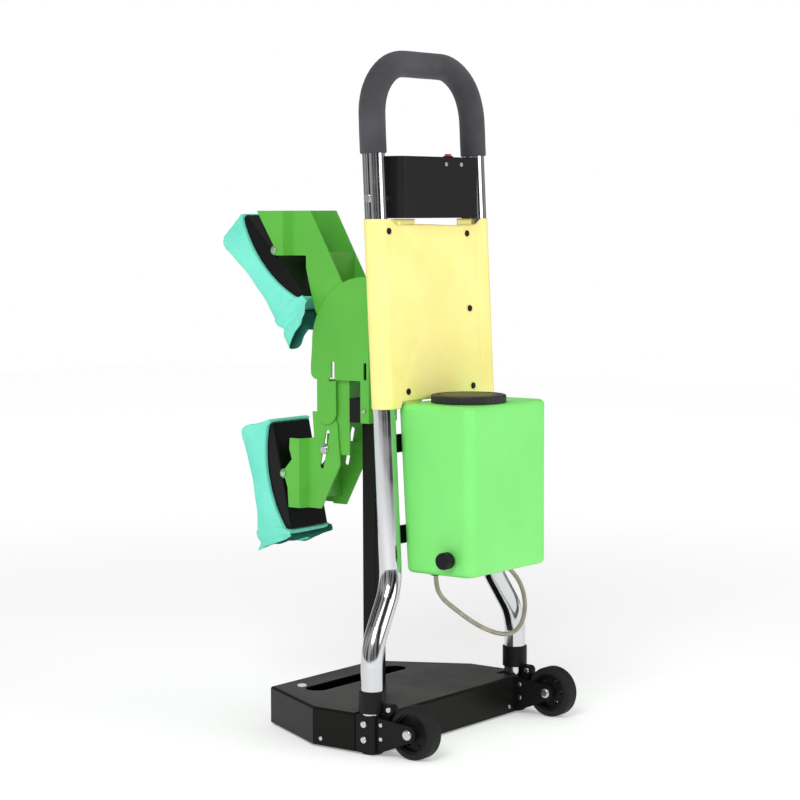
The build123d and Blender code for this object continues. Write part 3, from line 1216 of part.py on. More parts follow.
def main():
    """Build the whole machine."""
    parts = {}
    parts.update(make_base())
    parts.update(make_frame())
    parts.update(make_wheels())
    parts.update(make_tank())
    parts.update(make_box())
    parts.update(make_banner())
    parts.update(make_post())
    parts.update(make_carrier())
    parts["upper_bracket"] = make_upper_bracket()
    parts["lower_bracket"] = make_lower_bracket()
    parts.update(make_lower_mount())
    parts.update(make_heads())
    parts.update(make_hose())
    write_parts(parts)
    print(len(parts), "nodes")


main()
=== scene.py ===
# %% [markdown]
# # An escalator handrail cleaning machine
# The frame, base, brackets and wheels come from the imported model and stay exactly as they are.
# This lesson gives them their finishes, and makes the soft things anew: the cloths, the foam
# grip, the banner and the hose. Everything is in metres, with Z up and the heads towards +Y.

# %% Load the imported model
import math

import bmesh
import bpy
import numpy as np
from mathutils import Matrix, Vector


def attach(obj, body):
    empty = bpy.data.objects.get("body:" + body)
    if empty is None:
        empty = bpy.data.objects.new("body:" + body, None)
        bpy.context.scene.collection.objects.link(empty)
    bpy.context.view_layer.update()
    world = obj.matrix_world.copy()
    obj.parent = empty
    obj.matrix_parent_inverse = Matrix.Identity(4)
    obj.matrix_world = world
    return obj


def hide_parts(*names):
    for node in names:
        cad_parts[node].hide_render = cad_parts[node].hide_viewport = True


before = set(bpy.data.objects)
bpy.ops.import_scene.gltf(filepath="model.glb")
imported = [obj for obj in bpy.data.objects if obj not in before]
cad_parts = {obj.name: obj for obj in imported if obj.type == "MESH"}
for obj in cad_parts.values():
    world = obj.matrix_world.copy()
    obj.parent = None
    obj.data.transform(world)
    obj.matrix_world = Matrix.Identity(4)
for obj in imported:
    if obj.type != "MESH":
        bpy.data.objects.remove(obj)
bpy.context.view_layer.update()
print("nodes in the packed model:", len(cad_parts))

# %% [markdown]
# The camera comes first, because the hose is judged through it. The photograph was taken with a
# long lens from behind and to the left, level with the pump box. Its place was solved from points
# of known size, so here it is only written down.

# %% Camera
CAMERA_PLACE = (-2.6659, -2.0873, 0.7579)
CAMERA_LOOKS = (0.7928, 0.6040, -0.0819)
CAMERA_ROLL = math.radians(-0.2)
camera_data = bpy.data.cameras.new("camera")
camera = bpy.data.objects.new("camera", camera_data)
bpy.context.scene.collection.objects.link(camera)
camera_data.lens = 102.6
camera_data.sensor_width = 36.0
camera_data.clip_end = 50.0
looking = Vector(CAMERA_LOOKS).normalized()
turn = looking.to_track_quat("-Z", "Y").to_matrix().to_4x4()
turn = turn @ Matrix.Rotation(CAMERA_ROLL, 4, "Z")
camera.matrix_world = Matrix.Translation(CAMERA_PLACE) @ turn
bpy.context.scene.camera = camera
print("camera at", [round(v, 3) for v in camera.matrix_world.translation])

# %% [markdown]
# The hose is a free cord: it leaves the tank, hangs in a slack bow, goes round the right leg and
# climbs inside the frame to the pump box. A NURBS curve through few control points gives one
# smooth line, as a bent tube has, where sampled points would look like stiff wire.

# %% Supply hose
HOSE_RADIUS = 0.0034
HOSE_ROUTE = [
    (-0.06, -0.1655, 0.2435), (-0.06, -0.1655, 0.2245), (-0.046, -0.1658, 0.2045),
    (-0.019, -0.1663, 0.187), (0.013, -0.1668, 0.1675), (0.046, -0.1673, 0.15),
    (0.083, -0.1677, 0.135), (0.117, -0.168, 0.127), (0.142, -0.1675, 0.1295),
    (0.161, -0.166, 0.141), (0.171, -0.1635, 0.159), (0.1735, -0.16, 0.1795),
    (0.1705, -0.1535, 0.1995), (0.1635, -0.1435, 0.216), (0.154, -0.1305, 0.2305),
    (0.145, -0.118, 0.247), (0.136, -0.1085, 0.269), (0.122, -0.102, 0.299),
    (0.11, -0.1015, 0.342), (0.102, -0.1035, 0.394), (0.096, -0.107, 0.448),
    (0.092, -0.1115, 0.502), (0.0895, -0.1155, 0.558), (0.088, -0.1175, 0.614),
    (0.0863, -0.1165, 0.668), (0.0855, -0.1145, 0.708), (0.0855, -0.1145, 0.739),
]


def cord_curve(name, points, radius):
    """A NURBS line with a round bevel of 1 m times the radius that each point carries."""
    curve = bpy.data.curves.new(name, "CURVE")
    curve.dimensions = "3D"
    spline = curve.splines.new("NURBS")
    spline.points.add(len(points) - 1)
    for point, place in zip(spline.points, points):
        point.co = (*place, 1.0)
        point.radius = radius
    spline.order_u = 3
    spline.use_endpoint_u = True
    spline.resolution_u = 8
    curve.bevel_depth = 1.0
    curve.bevel_resolution = 5
    curve.use_fill_caps = True
    piece = bpy.data.objects.new(name, curve)
    bpy.context.scene.collection.objects.link(piece)
    return piece


hose = cord_curve("clear_hose", HOSE_ROUTE, HOSE_RADIUS)
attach(hose, "stand")
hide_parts("supply_hose")
print("hose control points:", len(HOSE_ROUTE))

# %% [markdown]
# The floor and light are those of a plain studio: a pale floor that meets a white backdrop, two
# large soft lamps and an even sky. The light stays plain, so a colour renders about as written.
# Only what shiny surfaces mirror is uneven: tall dark and pale bands, as in a room with stands.

# %% Floor and light
SKY_STRENGTH = 0.57
FLOOR_REACH = 6.0
world = bpy.data.worlds.new("studio")
bpy.context.scene.world = world
world.use_nodes = True
world_nodes = world.node_tree.nodes
world_links = world.node_tree.links
background = world_nodes["Background"]
background.inputs["Color"].default_value = (1.0, 1.0, 1.0, 1.0)
background.inputs["Strength"].default_value = SKY_STRENGTH


def sky(strength):
    """A white background of a given strength."""
    shade = world_nodes.new("ShaderNodeBackground")
    shade.inputs["Strength"].default_value = strength
    shade.inputs["Color"].default_value = (1.0, 1.0, 1.0, 1.0)
    return shade


def by_ray(kind, otherwise, chosen):
    """Choose one background for one kind of ray."""
    path = world_nodes.new("ShaderNodeLightPath")
    mix = world_nodes.new("ShaderNodeMixShader")
    world_links.new(path.outputs[kind], mix.inputs["Fac"])
    world_links.new(otherwise, mix.inputs[1])
    world_links.new(chosen, mix.inputs[2])
    return mix.outputs[0]


streaks = world_nodes.new("ShaderNodeTexNoise")
streaks.inputs["Scale"].default_value = 2.6
streaks.inputs["Detail"].default_value = 1.0
facing = world_nodes.new("ShaderNodeTexCoord")
squash = world_nodes.new("ShaderNodeMapping")
squash.inputs["Scale"].default_value = (1.0, 1.0, 0.12)
world_links.new(facing.outputs["Generated"], squash.inputs["Vector"])
world_links.new(squash.outputs["Vector"], streaks.inputs["Vector"])
bands = world_nodes.new("ShaderNodeValToRGB")
bands.color_ramp.elements[0].position = 0.40
bands.color_ramp.elements[0].color = (0.03, 0.028, 0.026, 1.0)
bands.color_ramp.elements[1].position = 0.60
bands.color_ramp.elements[1].color = (0.85, 0.84, 0.83, 1.0)
world_links.new(streaks.outputs["Fac"], bands.inputs["Fac"])
room = sky(SKY_STRENGTH)
world_links.new(bands.outputs["Color"], room.inputs["Color"])
lit = by_ray("Is Glossy Ray", background.outputs[0], room.outputs[0])
clear = by_ray("Is Transmission Ray", lit, sky(1.0).outputs[0])
seen = by_ray("Is Camera Ray", clear, sky(1.0).outputs[0])
world_links.new(seen, world_nodes["World Output"].inputs["Surface"])


def soft_lamp(name, place, target, size, power):
    """A square area lamp that points at a target."""
    lamp = bpy.data.lights.new(name, "AREA")
    lamp.size = size
    lamp.energy = power
    holder = bpy.data.objects.new(name, lamp)
    bpy.context.scene.collection.objects.link(holder)
    aim = (Vector(target) - Vector(place)).to_track_quat("-Z", "Y")
    holder.matrix_world = Matrix.Translation(place) @ aim.to_matrix().to_4x4()
    return holder


soft_lamp("key_lamp", (-2.6, -1.2, 2.6), (0, 0, 0.5), 1.6, 58.0)
soft_lamp("fill_lamp", (0.9, -3.2, 1.6), (0, 0, 0.5), 1.8, 26.0)

floor_mesh = bpy.data.meshes.new("studio_floor")
floor_mesh.from_pydata([(FLOOR_REACH * x, FLOOR_REACH * y, 0)
                        for x, y in ((-1, -1), (1, -1), (1, 1), (-1, 1))], [], [(0, 1, 2, 3)])
floor = bpy.data.objects.new("studio_floor", floor_mesh)
bpy.context.scene.collection.objects.link(floor)

view = bpy.context.scene.view_settings
view.view_transform = "Standard"
print("world strength", background.inputs["Strength"].default_value)

# %% [markdown]
# Every finish starts from the same small set of tools: a new material, a noise that follows the
# object's own coordinates, a colour that drifts a little, and a bump.

# %% Tools for finishes


def new_finish(name, roughness=0.5, metallic=0.0, specular=0.5):
    """A material with its node tree and shader."""
    finish = bpy.data.materials.new(name)
    finish.use_nodes = True
    tree = finish.node_tree
    shader = tree.nodes["Principled BSDF"]
    shader.inputs["Roughness"].default_value = roughness
    shader.inputs["Metallic"].default_value = metallic
    shader.inputs["Specular IOR Level"].default_value = specular
    return finish, tree, shader


def place_of(tree, source="Object", scale=(1.0, 1.0, 1.0)):
    """Coordinates of the surface, stretched by a scale."""
    coords = tree.nodes.new("ShaderNodeTexCoord")
    mapping = tree.nodes.new("ShaderNodeMapping")
    mapping.inputs["Scale"].default_value = scale
    tree.links.new(coords.outputs[source], mapping.inputs["Vector"])
    return mapping.outputs["Vector"]


def noise(tree, where, scale, detail=4.0, rough=0.5):
    """A soft random value of a given grain."""
    node = tree.nodes.new("ShaderNodeTexNoise")
    node.inputs["Scale"].default_value = scale
    node.inputs["Detail"].default_value = detail
    node.inputs["Roughness"].default_value = rough
    tree.links.new(where, node.inputs["Vector"])
    return node.outputs["Fac"]


def spread(tree, value, low, high):
    """Stretch a value that runs from 0.3 to 0.7 to a new range."""
    node = tree.nodes.new("ShaderNodeMapRange")
    node.inputs["From Min"].default_value = 0.3
    node.inputs["From Max"].default_value = 0.7
    node.inputs["To Min"].default_value = low
    node.inputs["To Max"].default_value = high
    tree.links.new(value, node.inputs["Value"])
    return node.outputs["Result"]


def drift(tree, value, first, second):
    """A colour between two, chosen by a value."""
    ramp = tree.nodes.new("ShaderNodeValToRGB")
    ramp.color_ramp.elements[0].position = 0.3
    ramp.color_ramp.elements[0].color = (*first, 1.0)
    ramp.color_ramp.elements[1].position = 0.7
    ramp.color_ramp.elements[1].color = (*second, 1.0)
    tree.links.new(value, ramp.inputs["Fac"])
    return ramp.outputs["Color"]


def bump(tree, height, depth, normal=None):
    """A surface bump; depth is the height of the relief in metres."""
    node = tree.nodes.new("ShaderNodeBump")
    node.inputs["Strength"].default_value = 1.0
    node.inputs["Distance"].default_value = depth
    tree.links.new(height, node.inputs["Height"])
    if normal is not None:
        tree.links.new(normal, node.inputs["Normal"])
    return node.outputs["Normal"]


def soft_edges(tree, radius):
    """Normals as if every edge were rounded by a radius."""
    node = tree.nodes.new("ShaderNodeBevel")
    node.samples = 4
    node.inputs["Radius"].default_value = radius
    return node.outputs["Normal"]


def shades(colour, change):
    """Two close shades of a colour, darker and lighter."""
    return [c * (1 - change) for c in colour], [min(1.0, c * (1 + change)) for c in colour]


def dress(finish, *nodes):
    """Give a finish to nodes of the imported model."""
    for name in nodes:
        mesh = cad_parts[name].data
        mesh.materials.clear()
        mesh.materials.append(finish)
    print(finish.name, "on", len(nodes))


# %% [markdown]
# Powder coat is a baked skin with a slight orange-peel relief. It is glossier than it looks, and
# it thins on edges. One function serves the green brackets and the black base and sockets.

# %% Powder coat


def powder_coat(name, colour, roughness, specular, peel=0.00002):
    """Painted sheet: orange peel, drifting shade and rounded edges."""
    finish, tree, shader = new_finish(name, roughness, specular=specular)
    where = place_of(tree)
    patches = noise(tree, where, 9.0)
    tree.links.new(drift(tree, patches, *shades(colour, 0.07)), shader.inputs["Base Color"])
    fine = noise(tree, where, 420.0, 2.0)
    tree.links.new(spread(tree, patches, roughness - 0.05, roughness + 0.07),
                   shader.inputs["Roughness"])
    tree.links.new(bump(tree, fine, peel, soft_edges(tree, 0.0008)), shader.inputs["Normal"])
    return finish


green_coat = powder_coat("leaf_green_coat", (0.105, 0.465, 0.050), 0.36, 0.45)
base_coat = powder_coat("black_base_coat", (0.0085, 0.0085, 0.0075), 0.30, 0.08)
dark_coat = powder_coat("black_bracket_coat", (0.007, 0.007, 0.0068), 0.40, 0.14)
dress(green_coat, "head_carrier", "upper_bracket", "lower_bracket", "lower_mount")
dress(base_coat, "base_box", "base_floor")
dress(dark_coat, "leg_socket_left", "leg_socket_right", "post_socket", "wheel_bracket_left",
      "wheel_bracket_right", "tank_bars", "post")

# %% [markdown]
# The handle tube is bright chrome. Real chrome shows its surroundings, dulled a little by wiping
# marks, so only its roughness drifts and very fine scratches run round it.

# %% Chrome and zinc


def metal(name, colour, smooth, dull, grain, depth):
    """Bare or plated metal with wiping marks and a fine grain."""
    finish, tree, shader = new_finish(name, smooth, 1.0)
    where = place_of(tree)
    marks = noise(tree, where, 22.0, 5.0)
    tree.links.new(spread(tree, marks, smooth, dull), shader.inputs["Roughness"])
    tree.links.new(drift(tree, marks, *shades(colour, 0.04)), shader.inputs["Base Color"])
    fine = noise(tree, where, grain, 3.0)
    tree.links.new(bump(tree, fine, depth, soft_edges(tree, 0.0004)), shader.inputs["Normal"])
    return finish


chrome = metal("tube_chrome", (0.62, 0.63, 0.65), 0.07, 0.16, 300.0, 0.000004)
zinc = metal("bright_zinc", (0.60, 0.60, 0.60), 0.22, 0.36, 900.0, 0.00001)
iron = metal("raw_plate", (0.10, 0.10, 0.10), 0.55, 0.75, 160.0, 0.00006)
dress(chrome, "frame_tube")
dress(zinc, "wheel_axles", "ear_bolts", "leg_bolts", "guide_bolts", "slot_bolts",
      "upper_pivot_screws", "lower_pivot_screws", "tank_bar_bolts", "box_side_bolts",
      "base_screws", "fork_screws", "box_screws", "post_stop_screw")
dress(iron, "ballast_plate")

# %% [markdown]
# Mouldings have a fine spark-eroded grain, which keeps big faces from looking like glass. The
# tank is blown polyethylene: waxy, light, with broad soft waves and a little light inside.

# %% Plastics and rubber


def moulding(name, colour, roughness, specular=0.25, grain=700.0, depth=0.00003, change=0.06):
    """Moulded plastic or rubber with a fine grain."""
    finish, tree, shader = new_finish(name, roughness, specular=specular)
    where = place_of(tree)
    broad = noise(tree, where, 14.0)
    tree.links.new(drift(tree, broad, *shades(colour, change)), shader.inputs["Base Color"])
    tree.links.new(spread(tree, broad, roughness - 0.05, roughness + 0.06),
                   shader.inputs["Roughness"])
    fine = noise(tree, where, grain, 2.0)
    tree.links.new(bump(tree, fine, depth, soft_edges(tree, 0.0006)), shader.inputs["Normal"])
    return finish


black_grain = moulding("black_grained_plastic", (0.0085, 0.0085, 0.009), 0.48, 0.18)
lid_grain = moulding("lid_plastic", (0.026, 0.026, 0.028), 0.42)
holder_grain = moulding("holder_plastic", (0.0032, 0.0032, 0.0038), 0.24, 0.22)
white_plug = moulding("white_plug", (0.80, 0.80, 0.78), 0.35, 0.5)
red_button = moulding("red_button", (0.55, 0.035, 0.025), 0.30, 0.5)
tyre_rubber = moulding("tyre_rubber", (0.012, 0.012, 0.012), 0.72, 0.25, 500.0, 0.00008, 0.15)
foot_rubber = moulding("foot_rubber", (0.014, 0.014, 0.014), 0.8, 0.25, 500.0, 0.00008, 0.15)
brown_gland = moulding("dark_gland", (0.045, 0.022, 0.018), 0.45)
board_green = moulding("board_green", (0.02, 0.20, 0.06), 0.4)
battery_wrap = moulding("battery_wrap", (0.02, 0.05, 0.20), 0.3, 0.5)
dress(black_grain, "leg_sleeves", "post_cap", "drain_knob", "drain_tap", "tank_outlet",
      "post_guides", "box_shell", "box_cover", "pump", "banner_snaps")
dress(lid_grain, "tank_lid")
dress(holder_grain, "upper_pad_holder", "lower_pad_holder")
dress(white_plug, "base_plug")
dress(red_button, "start_button")
dress(tyre_rubber, "wheel_tyre_left", "wheel_tyre_right")
dress(black_grain, "wheel_hub_left", "wheel_hub_right")
dress(foot_rubber, "front_feet", "leg_foot_caps")
dress(brown_gland, "hose_gland")
dress(board_green, "control_board")
dress(battery_wrap, "battery")

# %% [markdown]
# The tank is the largest single surface, so it gets more care than the other mouldings. Blown
# walls are never flat: broad shallow waves bend the highlights. The grain lies on top of them.

# %% Tank


def tank_plastic():
    """Waxy blown plastic: broad waves, faint cloudiness and a soft inner glow."""
    colour = (0.212, 0.800, 0.178)
    finish, tree, shader = new_finish("tank_green", 0.42)
    where = place_of(tree)
    cloud = noise(tree, where, 7.0, 3.0)
    tree.links.new(drift(tree, cloud, *shades(colour, 0.05)), shader.inputs["Base Color"])
    tree.links.new(spread(tree, noise(tree, where, 30.0), 0.36, 0.48), shader.inputs["Roughness"])
    waves = noise(tree, where, 26.0, 1.0)
    wavy = bump(tree, waves, 0.0006, soft_edges(tree, 0.003))
    tree.links.new(bump(tree, noise(tree, where, 500.0, 2.0), 0.00003, wavy),
                   shader.inputs["Normal"])
    shader.inputs["Subsurface Weight"].default_value = 0.12
    shader.inputs["Subsurface Radius"].default_value = (0.5, 1.0, 0.4)
    shader.inputs["Subsurface Scale"].default_value = 0.006
    return finish


dress(tank_plastic(), "tank")

# %% [markdown]
# The supply hose is clear tubing that has dulled. It lets part of the light through, and the
# rest takes a warm grey from the film of dust inside.

# %% Hose finish


def hose_plastic():
    """Soft clear tubing, a little yellowed and dusty, which lets some light through."""
    finish, tree, shader = new_finish("clear_tubing", 0.28)
    where = place_of(tree)
    cloud = noise(tree, where, 60.0, 3.0)
    tree.links.new(drift(tree, cloud, (0.40, 0.34, 0.27), (0.54, 0.48, 0.40)),
                   shader.inputs["Base Color"])
    shader.inputs["Transmission Weight"].default_value = 0.35
    shader.inputs["IOR"].default_value = 1.42
    tree.links.new(bump(tree, noise(tree, where, 300.0, 2.0), 0.00003), shader.inputs["Normal"])
    return finish


hose.data.materials.append(hose_plastic())


# %% [markdown]
# The lamps light the floor near the machine and leave it greyer further off. A faint glow that
# grows with the distance from the machine evens this out, so that little but the shadow shows.

# %% Floor finish


def studio_floor_finish(near=0.9, far=3.2, glow_near=0.30, glow_far=0.50):
    """Very pale board whose glow grows from near to far, in metres from the machine."""
    finish, tree, shader = new_finish("studio_floor", 0.7)
    shader.inputs["Base Color"].default_value = (0.88, 0.88, 0.88, 1.0)
    shader.inputs["Emission Color"].default_value = (1.0, 1.0, 1.0, 1.0)
    distance = tree.nodes.new("ShaderNodeVectorMath")
    distance.operation = "LENGTH"
    tree.links.new(place_of(tree), distance.inputs[0])
    glow = tree.nodes.new("ShaderNodeMapRange")
    glow.interpolation_type = "SMOOTHSTEP"
    for socket, value in (("From Min", near), ("From Max", far), ("To Min", glow_near),
                          ("To Max", glow_far)):
        glow.inputs[socket].default_value = value
    tree.links.new(distance.outputs["Value"], glow.inputs["Value"])
    tree.links.new(glow.outputs["Result"], shader.inputs["Emission Strength"])
    return finish


floor.data.materials.append(studio_floor_finish())

# %% [markdown]
# New pieces are surfaces worked out as whole arrays: a grid of points becomes a mesh.

# %% Grid to mesh


def grid_piece(name, points, closed=False, caps=False):
    """Quads from points of shape (rows, columns, 3); closed joins the last and first columns."""
    rows, cols = points.shape[:2]
    index = np.arange(rows * cols).reshape(rows, cols)
    col_end = cols if closed else cols - 1
    i, j = np.meshgrid(np.arange(rows - 1), np.arange(col_end), indexing="ij")
    quads = np.stack([index[i, j], index[i + 1, j],
                      index[i + 1, (j + 1) % cols], index[i, (j + 1) % cols]], axis=-1)
    faces = quads.reshape(-1, 4).tolist()
    if caps:
        faces.append(index[0, ::-1].tolist())
        faces.append(index[-1, :].tolist())
    mesh = bpy.data.meshes.new(name)
    mesh.from_pydata(points.reshape(-1, 3).tolist(), [], faces)
    mesh.validate()
    mesh.shade_smooth()
    piece = bpy.data.objects.new(name, mesh)
    bpy.context.scene.collection.objects.link(piece)
    print(name, "faces", len(mesh.polygons))
    return piece


def outward(piece):
    """Turn every face of a closed mesh outwards."""
    work = bmesh.new()
    work.from_mesh(piece.data)
    bmesh.ops.remove_doubles(work, verts=work.verts, dist=1e-6)
    bmesh.ops.recalc_face_normals(work, faces=work.faces)
    work.to_mesh(piece.data)
    work.free()
    piece.data.shade_smooth()


# %% [markdown]
# The foam grip is a sleeve pushed over the handle bend. It is a circle carried along the same
# straight-arc-straight line as the tube. Its ends are softly rounded, and where it turns, the
# inside of the bend is squeezed into shallow ripples.

# %% Foam grip
ORIGIN_Y = 0.1495
LEAN = math.radians(2.7)
STILE_X, STILE_FOOT_Y, STILE_FOOT_Z = 0.121, 0.0177, 0.229
GRIP_START_Z, HANDLE_TOP_Z, HANDLE_BEND = 0.841, 0.970, 0.078
FOAM_RADIUS, FOAM_BORE, FOAM_END = 0.0190, 0.0164, 0.003


def stile_y(z):
    """Forward place of a stile's axis: it leans by LEAN from a point near its foot."""
    return STILE_FOOT_Y - ORIGIN_Y + (z - STILE_FOOT_Z) * math.tan(LEAN)


def handle_line(s):
    """Point and direction on the handle's axis at arc length s: up, round, across, round, down."""
    rise = (HANDLE_TOP_Z - GRIP_START_Z) / math.cos(LEAN)
    bend = HANDLE_BEND
    leg = rise - bend
    arc = bend * math.pi / 2
    top = 2 * (STILE_X - bend)
    marks = np.cumsum([leg, arc, top, arc, leg])
    first = np.clip((s - marks[0]) / bend, 0, math.pi / 2)
    second = np.clip((s - marks[2]) / bend, 0, math.pi / 2)
    turned = first + second
    up = np.minimum(s, leg)
    down = np.maximum(s - marks[3], 0)
    across = np.clip(s - marks[1], 0, top)
    x = -STILE_X + bend * (1 - np.cos(first)) + across + bend * np.sin(second)
    h = up + bend * np.sin(first) - bend * (1 - np.cos(second)) - down
    lean_up = np.array([0.0, math.sin(LEAN), math.cos(LEAN)])
    side = np.array([1.0, 0.0, 0.0])
    start = np.array([0.0, stile_y(GRIP_START_Z), GRIP_START_Z])
    points = start + x[:, None] * side + h[:, None] * lean_up
    ahead = np.sin(turned)[:, None] * side + np.cos(turned)[:, None] * lean_up
    return points, ahead, turned, marks[-1]


def foam_surface():
    """Circle of radius r carried on handle_line; r falls off at the ends and ripples inside."""
    length = handle_line(np.zeros(1))[3]
    s = np.concatenate([np.linspace(0, FOAM_END, 7)[:-1],
                        np.linspace(FOAM_END, length - FOAM_END, 220),
                        np.linspace(length - FOAM_END, length, 7)[1:]])
    points, ahead, turned, length = handle_line(s)
    across = np.array([0.0, math.cos(LEAN), -math.sin(LEAN)])
    outer = np.cross(ahead, across)
    angle = np.linspace(0, 2 * math.pi, 49)[:-1]
    edge = np.minimum(s, length - s)
    in_end = np.maximum(FOAM_END - edge, 0)
    fall = FOAM_END - np.sqrt(np.maximum(FOAM_END ** 2 - in_end ** 2, 0))
    squeeze = np.sin(turned * 2) ** 2
    ripple = 0.00035 * squeeze[:, None] * np.sin(s * 900)[:, None]
    inside = np.clip(np.cos(angle)[None, :], 0, 1) ** 2
    wobble = 0.00018 * np.sin(7 * angle[None, :] + 31 * s[:, None]) * np.sin(90 * s)[:, None]
    r = FOAM_RADIUS - fall[:, None] * 0.55 + ripple * inside + wobble
    ring = (np.cos(angle)[None, :, None] * outer[:, None, :]
            + np.sin(angle)[None, :, None] * across[None, None, :])
    body = points[:, None, :] + r[:, :, None] * ring
    lip = points[[0, -1], None, :] + FOAM_BORE * ring[[0, -1]]
    return np.concatenate([lip[:1], body, lip[1:]])


foam = grid_piece("handle_foam", foam_surface(), closed=True)
outward(foam)
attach(foam, "stand")
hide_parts("foam_grip")


def foam_finish():
    """Closed-cell foam: tiny round pores, a dry sheen and paler rubbed patches."""
    finish, tree, shader = new_finish("grip_foam", 0.78, specular=0.25)
    where = place_of(tree)
    rubbed = noise(tree, where, 16.0, 5.0)
    tree.links.new(drift(tree, rubbed, (0.038, 0.038, 0.043), (0.070, 0.070, 0.079)),
                   shader.inputs["Base Color"])
    pores = tree.nodes.new("ShaderNodeTexVoronoi")
    pores.inputs["Scale"].default_value = 900.0
    tree.links.new(where, pores.inputs["Vector"])
    pitted = bump(tree, pores.outputs["Distance"], 0.00025)
    tree.links.new(bump(tree, noise(tree, where, 120.0), 0.0003, pitted), shader.inputs["Normal"])
    shader.inputs["Sheen Weight"].default_value = 0.12
    shader.inputs["Sheen Roughness"].default_value = 0.5
    return finish


foam.data.materials.append(foam_finish())

# %% [markdown]
# The banner is a coated cloth that wraps both stiles. Seen from above it is a straight panel,
# a three-quarter turn round each tube, and a flap that comes back behind the panel. That line is
# carried up the leaning stiles. Its top edge hangs a little between the tubes, soft folds run
# from the fasteners, and its lower edge is cut out for the tank.

# %% Banner
WRAP = 0.0170
PANEL_Y = -WRAP
FLAP_Y = -0.0154
FLAP_START, FLAP_BEND = 0.052, 0.088
BANNER_LOW, BANNER_RISE, BANNER_HIGH, BANNER_HEIGHT = 0.481, 0.0093, 0.7490, 0.265


def banner_plan(count):
    """Arc-length samples of the plan line: flap, slant, arc about the tube, panel, mirrored."""
    reach_x, reach_y = FLAP_BEND - STILE_X, FLAP_Y
    spread_angle = math.acos(WRAP / math.hypot(reach_x, reach_y))
    touch = math.atan2(reach_y, reach_x) % (2 * math.pi) - spread_angle
    arc = np.linspace(touch, -math.pi / 2, 40)
    right = np.concatenate([
        [[FLAP_START, FLAP_Y], [FLAP_BEND, FLAP_Y]],
        np.stack([STILE_X + WRAP * np.cos(arc), WRAP * np.sin(arc)], axis=1)])
    line = np.concatenate([right, (right * [-1, 1])[::-1]])
    steps = np.linalg.norm(np.diff(line, axis=0), axis=1)
    along = np.concatenate([[0], np.cumsum(steps)])
    s = np.linspace(0, along[-1], count)
    plan = np.stack([np.interp(s, along, line[:, 0]), np.interp(s, along, line[:, 1])], axis=1)
    return plan, along[-1]


def fold(across, up, centre, direction, width, depth, reach):
    """One soft crease: a ridge across a line through a point, which fades along the line."""
    dx, dz = across - centre[0], up - centre[1]
    cosine, sine = math.cos(direction), math.sin(direction)
    along = dx * cosine + dz * sine
    aside = -dx * sine + dz * cosine
    return depth * np.exp(-(aside / width) ** 2 - (along / reach) ** 2)


def banner_surface(rows=96, cols=310):
    """Plan line carried up the lean, with dipped edges and folds pushed along its normal."""
    plan, width = banner_plan(cols)
    tangent = np.gradient(plan, axis=0)
    tangent /= np.linalg.norm(tangent, axis=1)[:, None]
    normal = np.stack([tangent[:, 1], -tangent[:, 0]], axis=1)
    x = plan[:, 0]
    front = plan[:, 1] < PANEL_Y + 0.0008
    middle = np.where(front, np.clip((0.112 - np.abs(x)) / 0.018, 0, 1), 0)
    middle = middle * middle * (3 - 2 * middle)
    over_tank = np.where(front, np.clip((0.1035 - np.abs(x)) / 0.003, 0, 1), 0)
    low = BANNER_LOW + BANNER_RISE * over_tank
    high = BANNER_HIGH - middle * (0.0085 + 0.0010 * np.sin(x * 34))
    t = np.linspace(0, 1, rows)[:, None]
    z = low[None, :] * (1 - t) + high[None, :] * t
    push = fold(x[None, :], z, (0.045, 0.520), 2.45, 0.006, 0.0008, 0.060)
    push += fold(x[None, :], z, (0.060, 0.690), -2.2, 0.009, 0.0008, 0.070)
    push += fold(x[None, :], z, (-0.070, 0.560), 0.9, 0.008, 0.0007, 0.060)
    push += fold(x[None, :], z, (-0.060, 0.715), -0.7, 0.007, 0.0006, 0.050)
    push += fold(x[None, :], z, (0.098, 0.620), 1.57, 0.005, 0.0006, 0.110)
    push += 0.0005 * np.sin(x[None, :] * 38 + z * 9) * np.sin(z * 31 + 1.0)
    push *= np.where(front, np.clip((0.118 - np.abs(x)) / 0.02, 0, 1), 0)[None, :]
    y = stile_y(0) + z * math.tan(LEAN) + plan[None, :, 1] + push * normal[None, :, 1]
    xs = x[None, :] + push * normal[None, :, 0]
    return np.stack([xs, y, z], axis=2), width


banner_points, banner_width = banner_surface()
banner = grid_piece("banner_cloth", banner_points)
thick = banner.modifiers.new("thickness", "SOLIDIFY")
thick.thickness = 0.0009
thick.offset = 0.0
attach(banner, "stand")
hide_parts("banner")
print("banner flat width", round(banner_width, 3))


def banner_finish():
    """Coated cloth: a fine woven base seen through a satin yellow skin, with handling marks."""
    finish, tree, shader = new_finish("banner_vinyl", 0.42)
    where = place_of(tree)
    cloud = noise(tree, where, 11.0, 5.0)
    tree.links.new(drift(tree, cloud, (0.93, 0.80, 0.235), (1.0, 0.90, 0.33)),
                   shader.inputs["Base Color"])
    tree.links.new(spread(tree, noise(tree, where, 40.0), 0.36, 0.52), shader.inputs["Roughness"])
    heights = []
    for direction in ("X", "Z"):
        threads = tree.nodes.new("ShaderNodeTexWave")
        threads.bands_direction = direction
        threads.inputs["Scale"].default_value = 260.0
        threads.inputs["Distortion"].default_value = 0.4
        tree.links.new(where, threads.inputs["Vector"])
        heights.append(threads.outputs["Fac"])
    weave = tree.nodes.new("ShaderNodeMath")
    weave.operation = "ADD"
    tree.links.new(heights[0], weave.inputs[0])
    tree.links.new(heights[1], weave.inputs[1])
    woven = bump(tree, weave.outputs[0], 0.00003)
    tree.links.new(bump(tree, noise(tree, where, 24.0, 2.0), 0.0005, woven),
                   shader.inputs["Normal"])
    return finish


banner.data.materials.append(banner_finish())

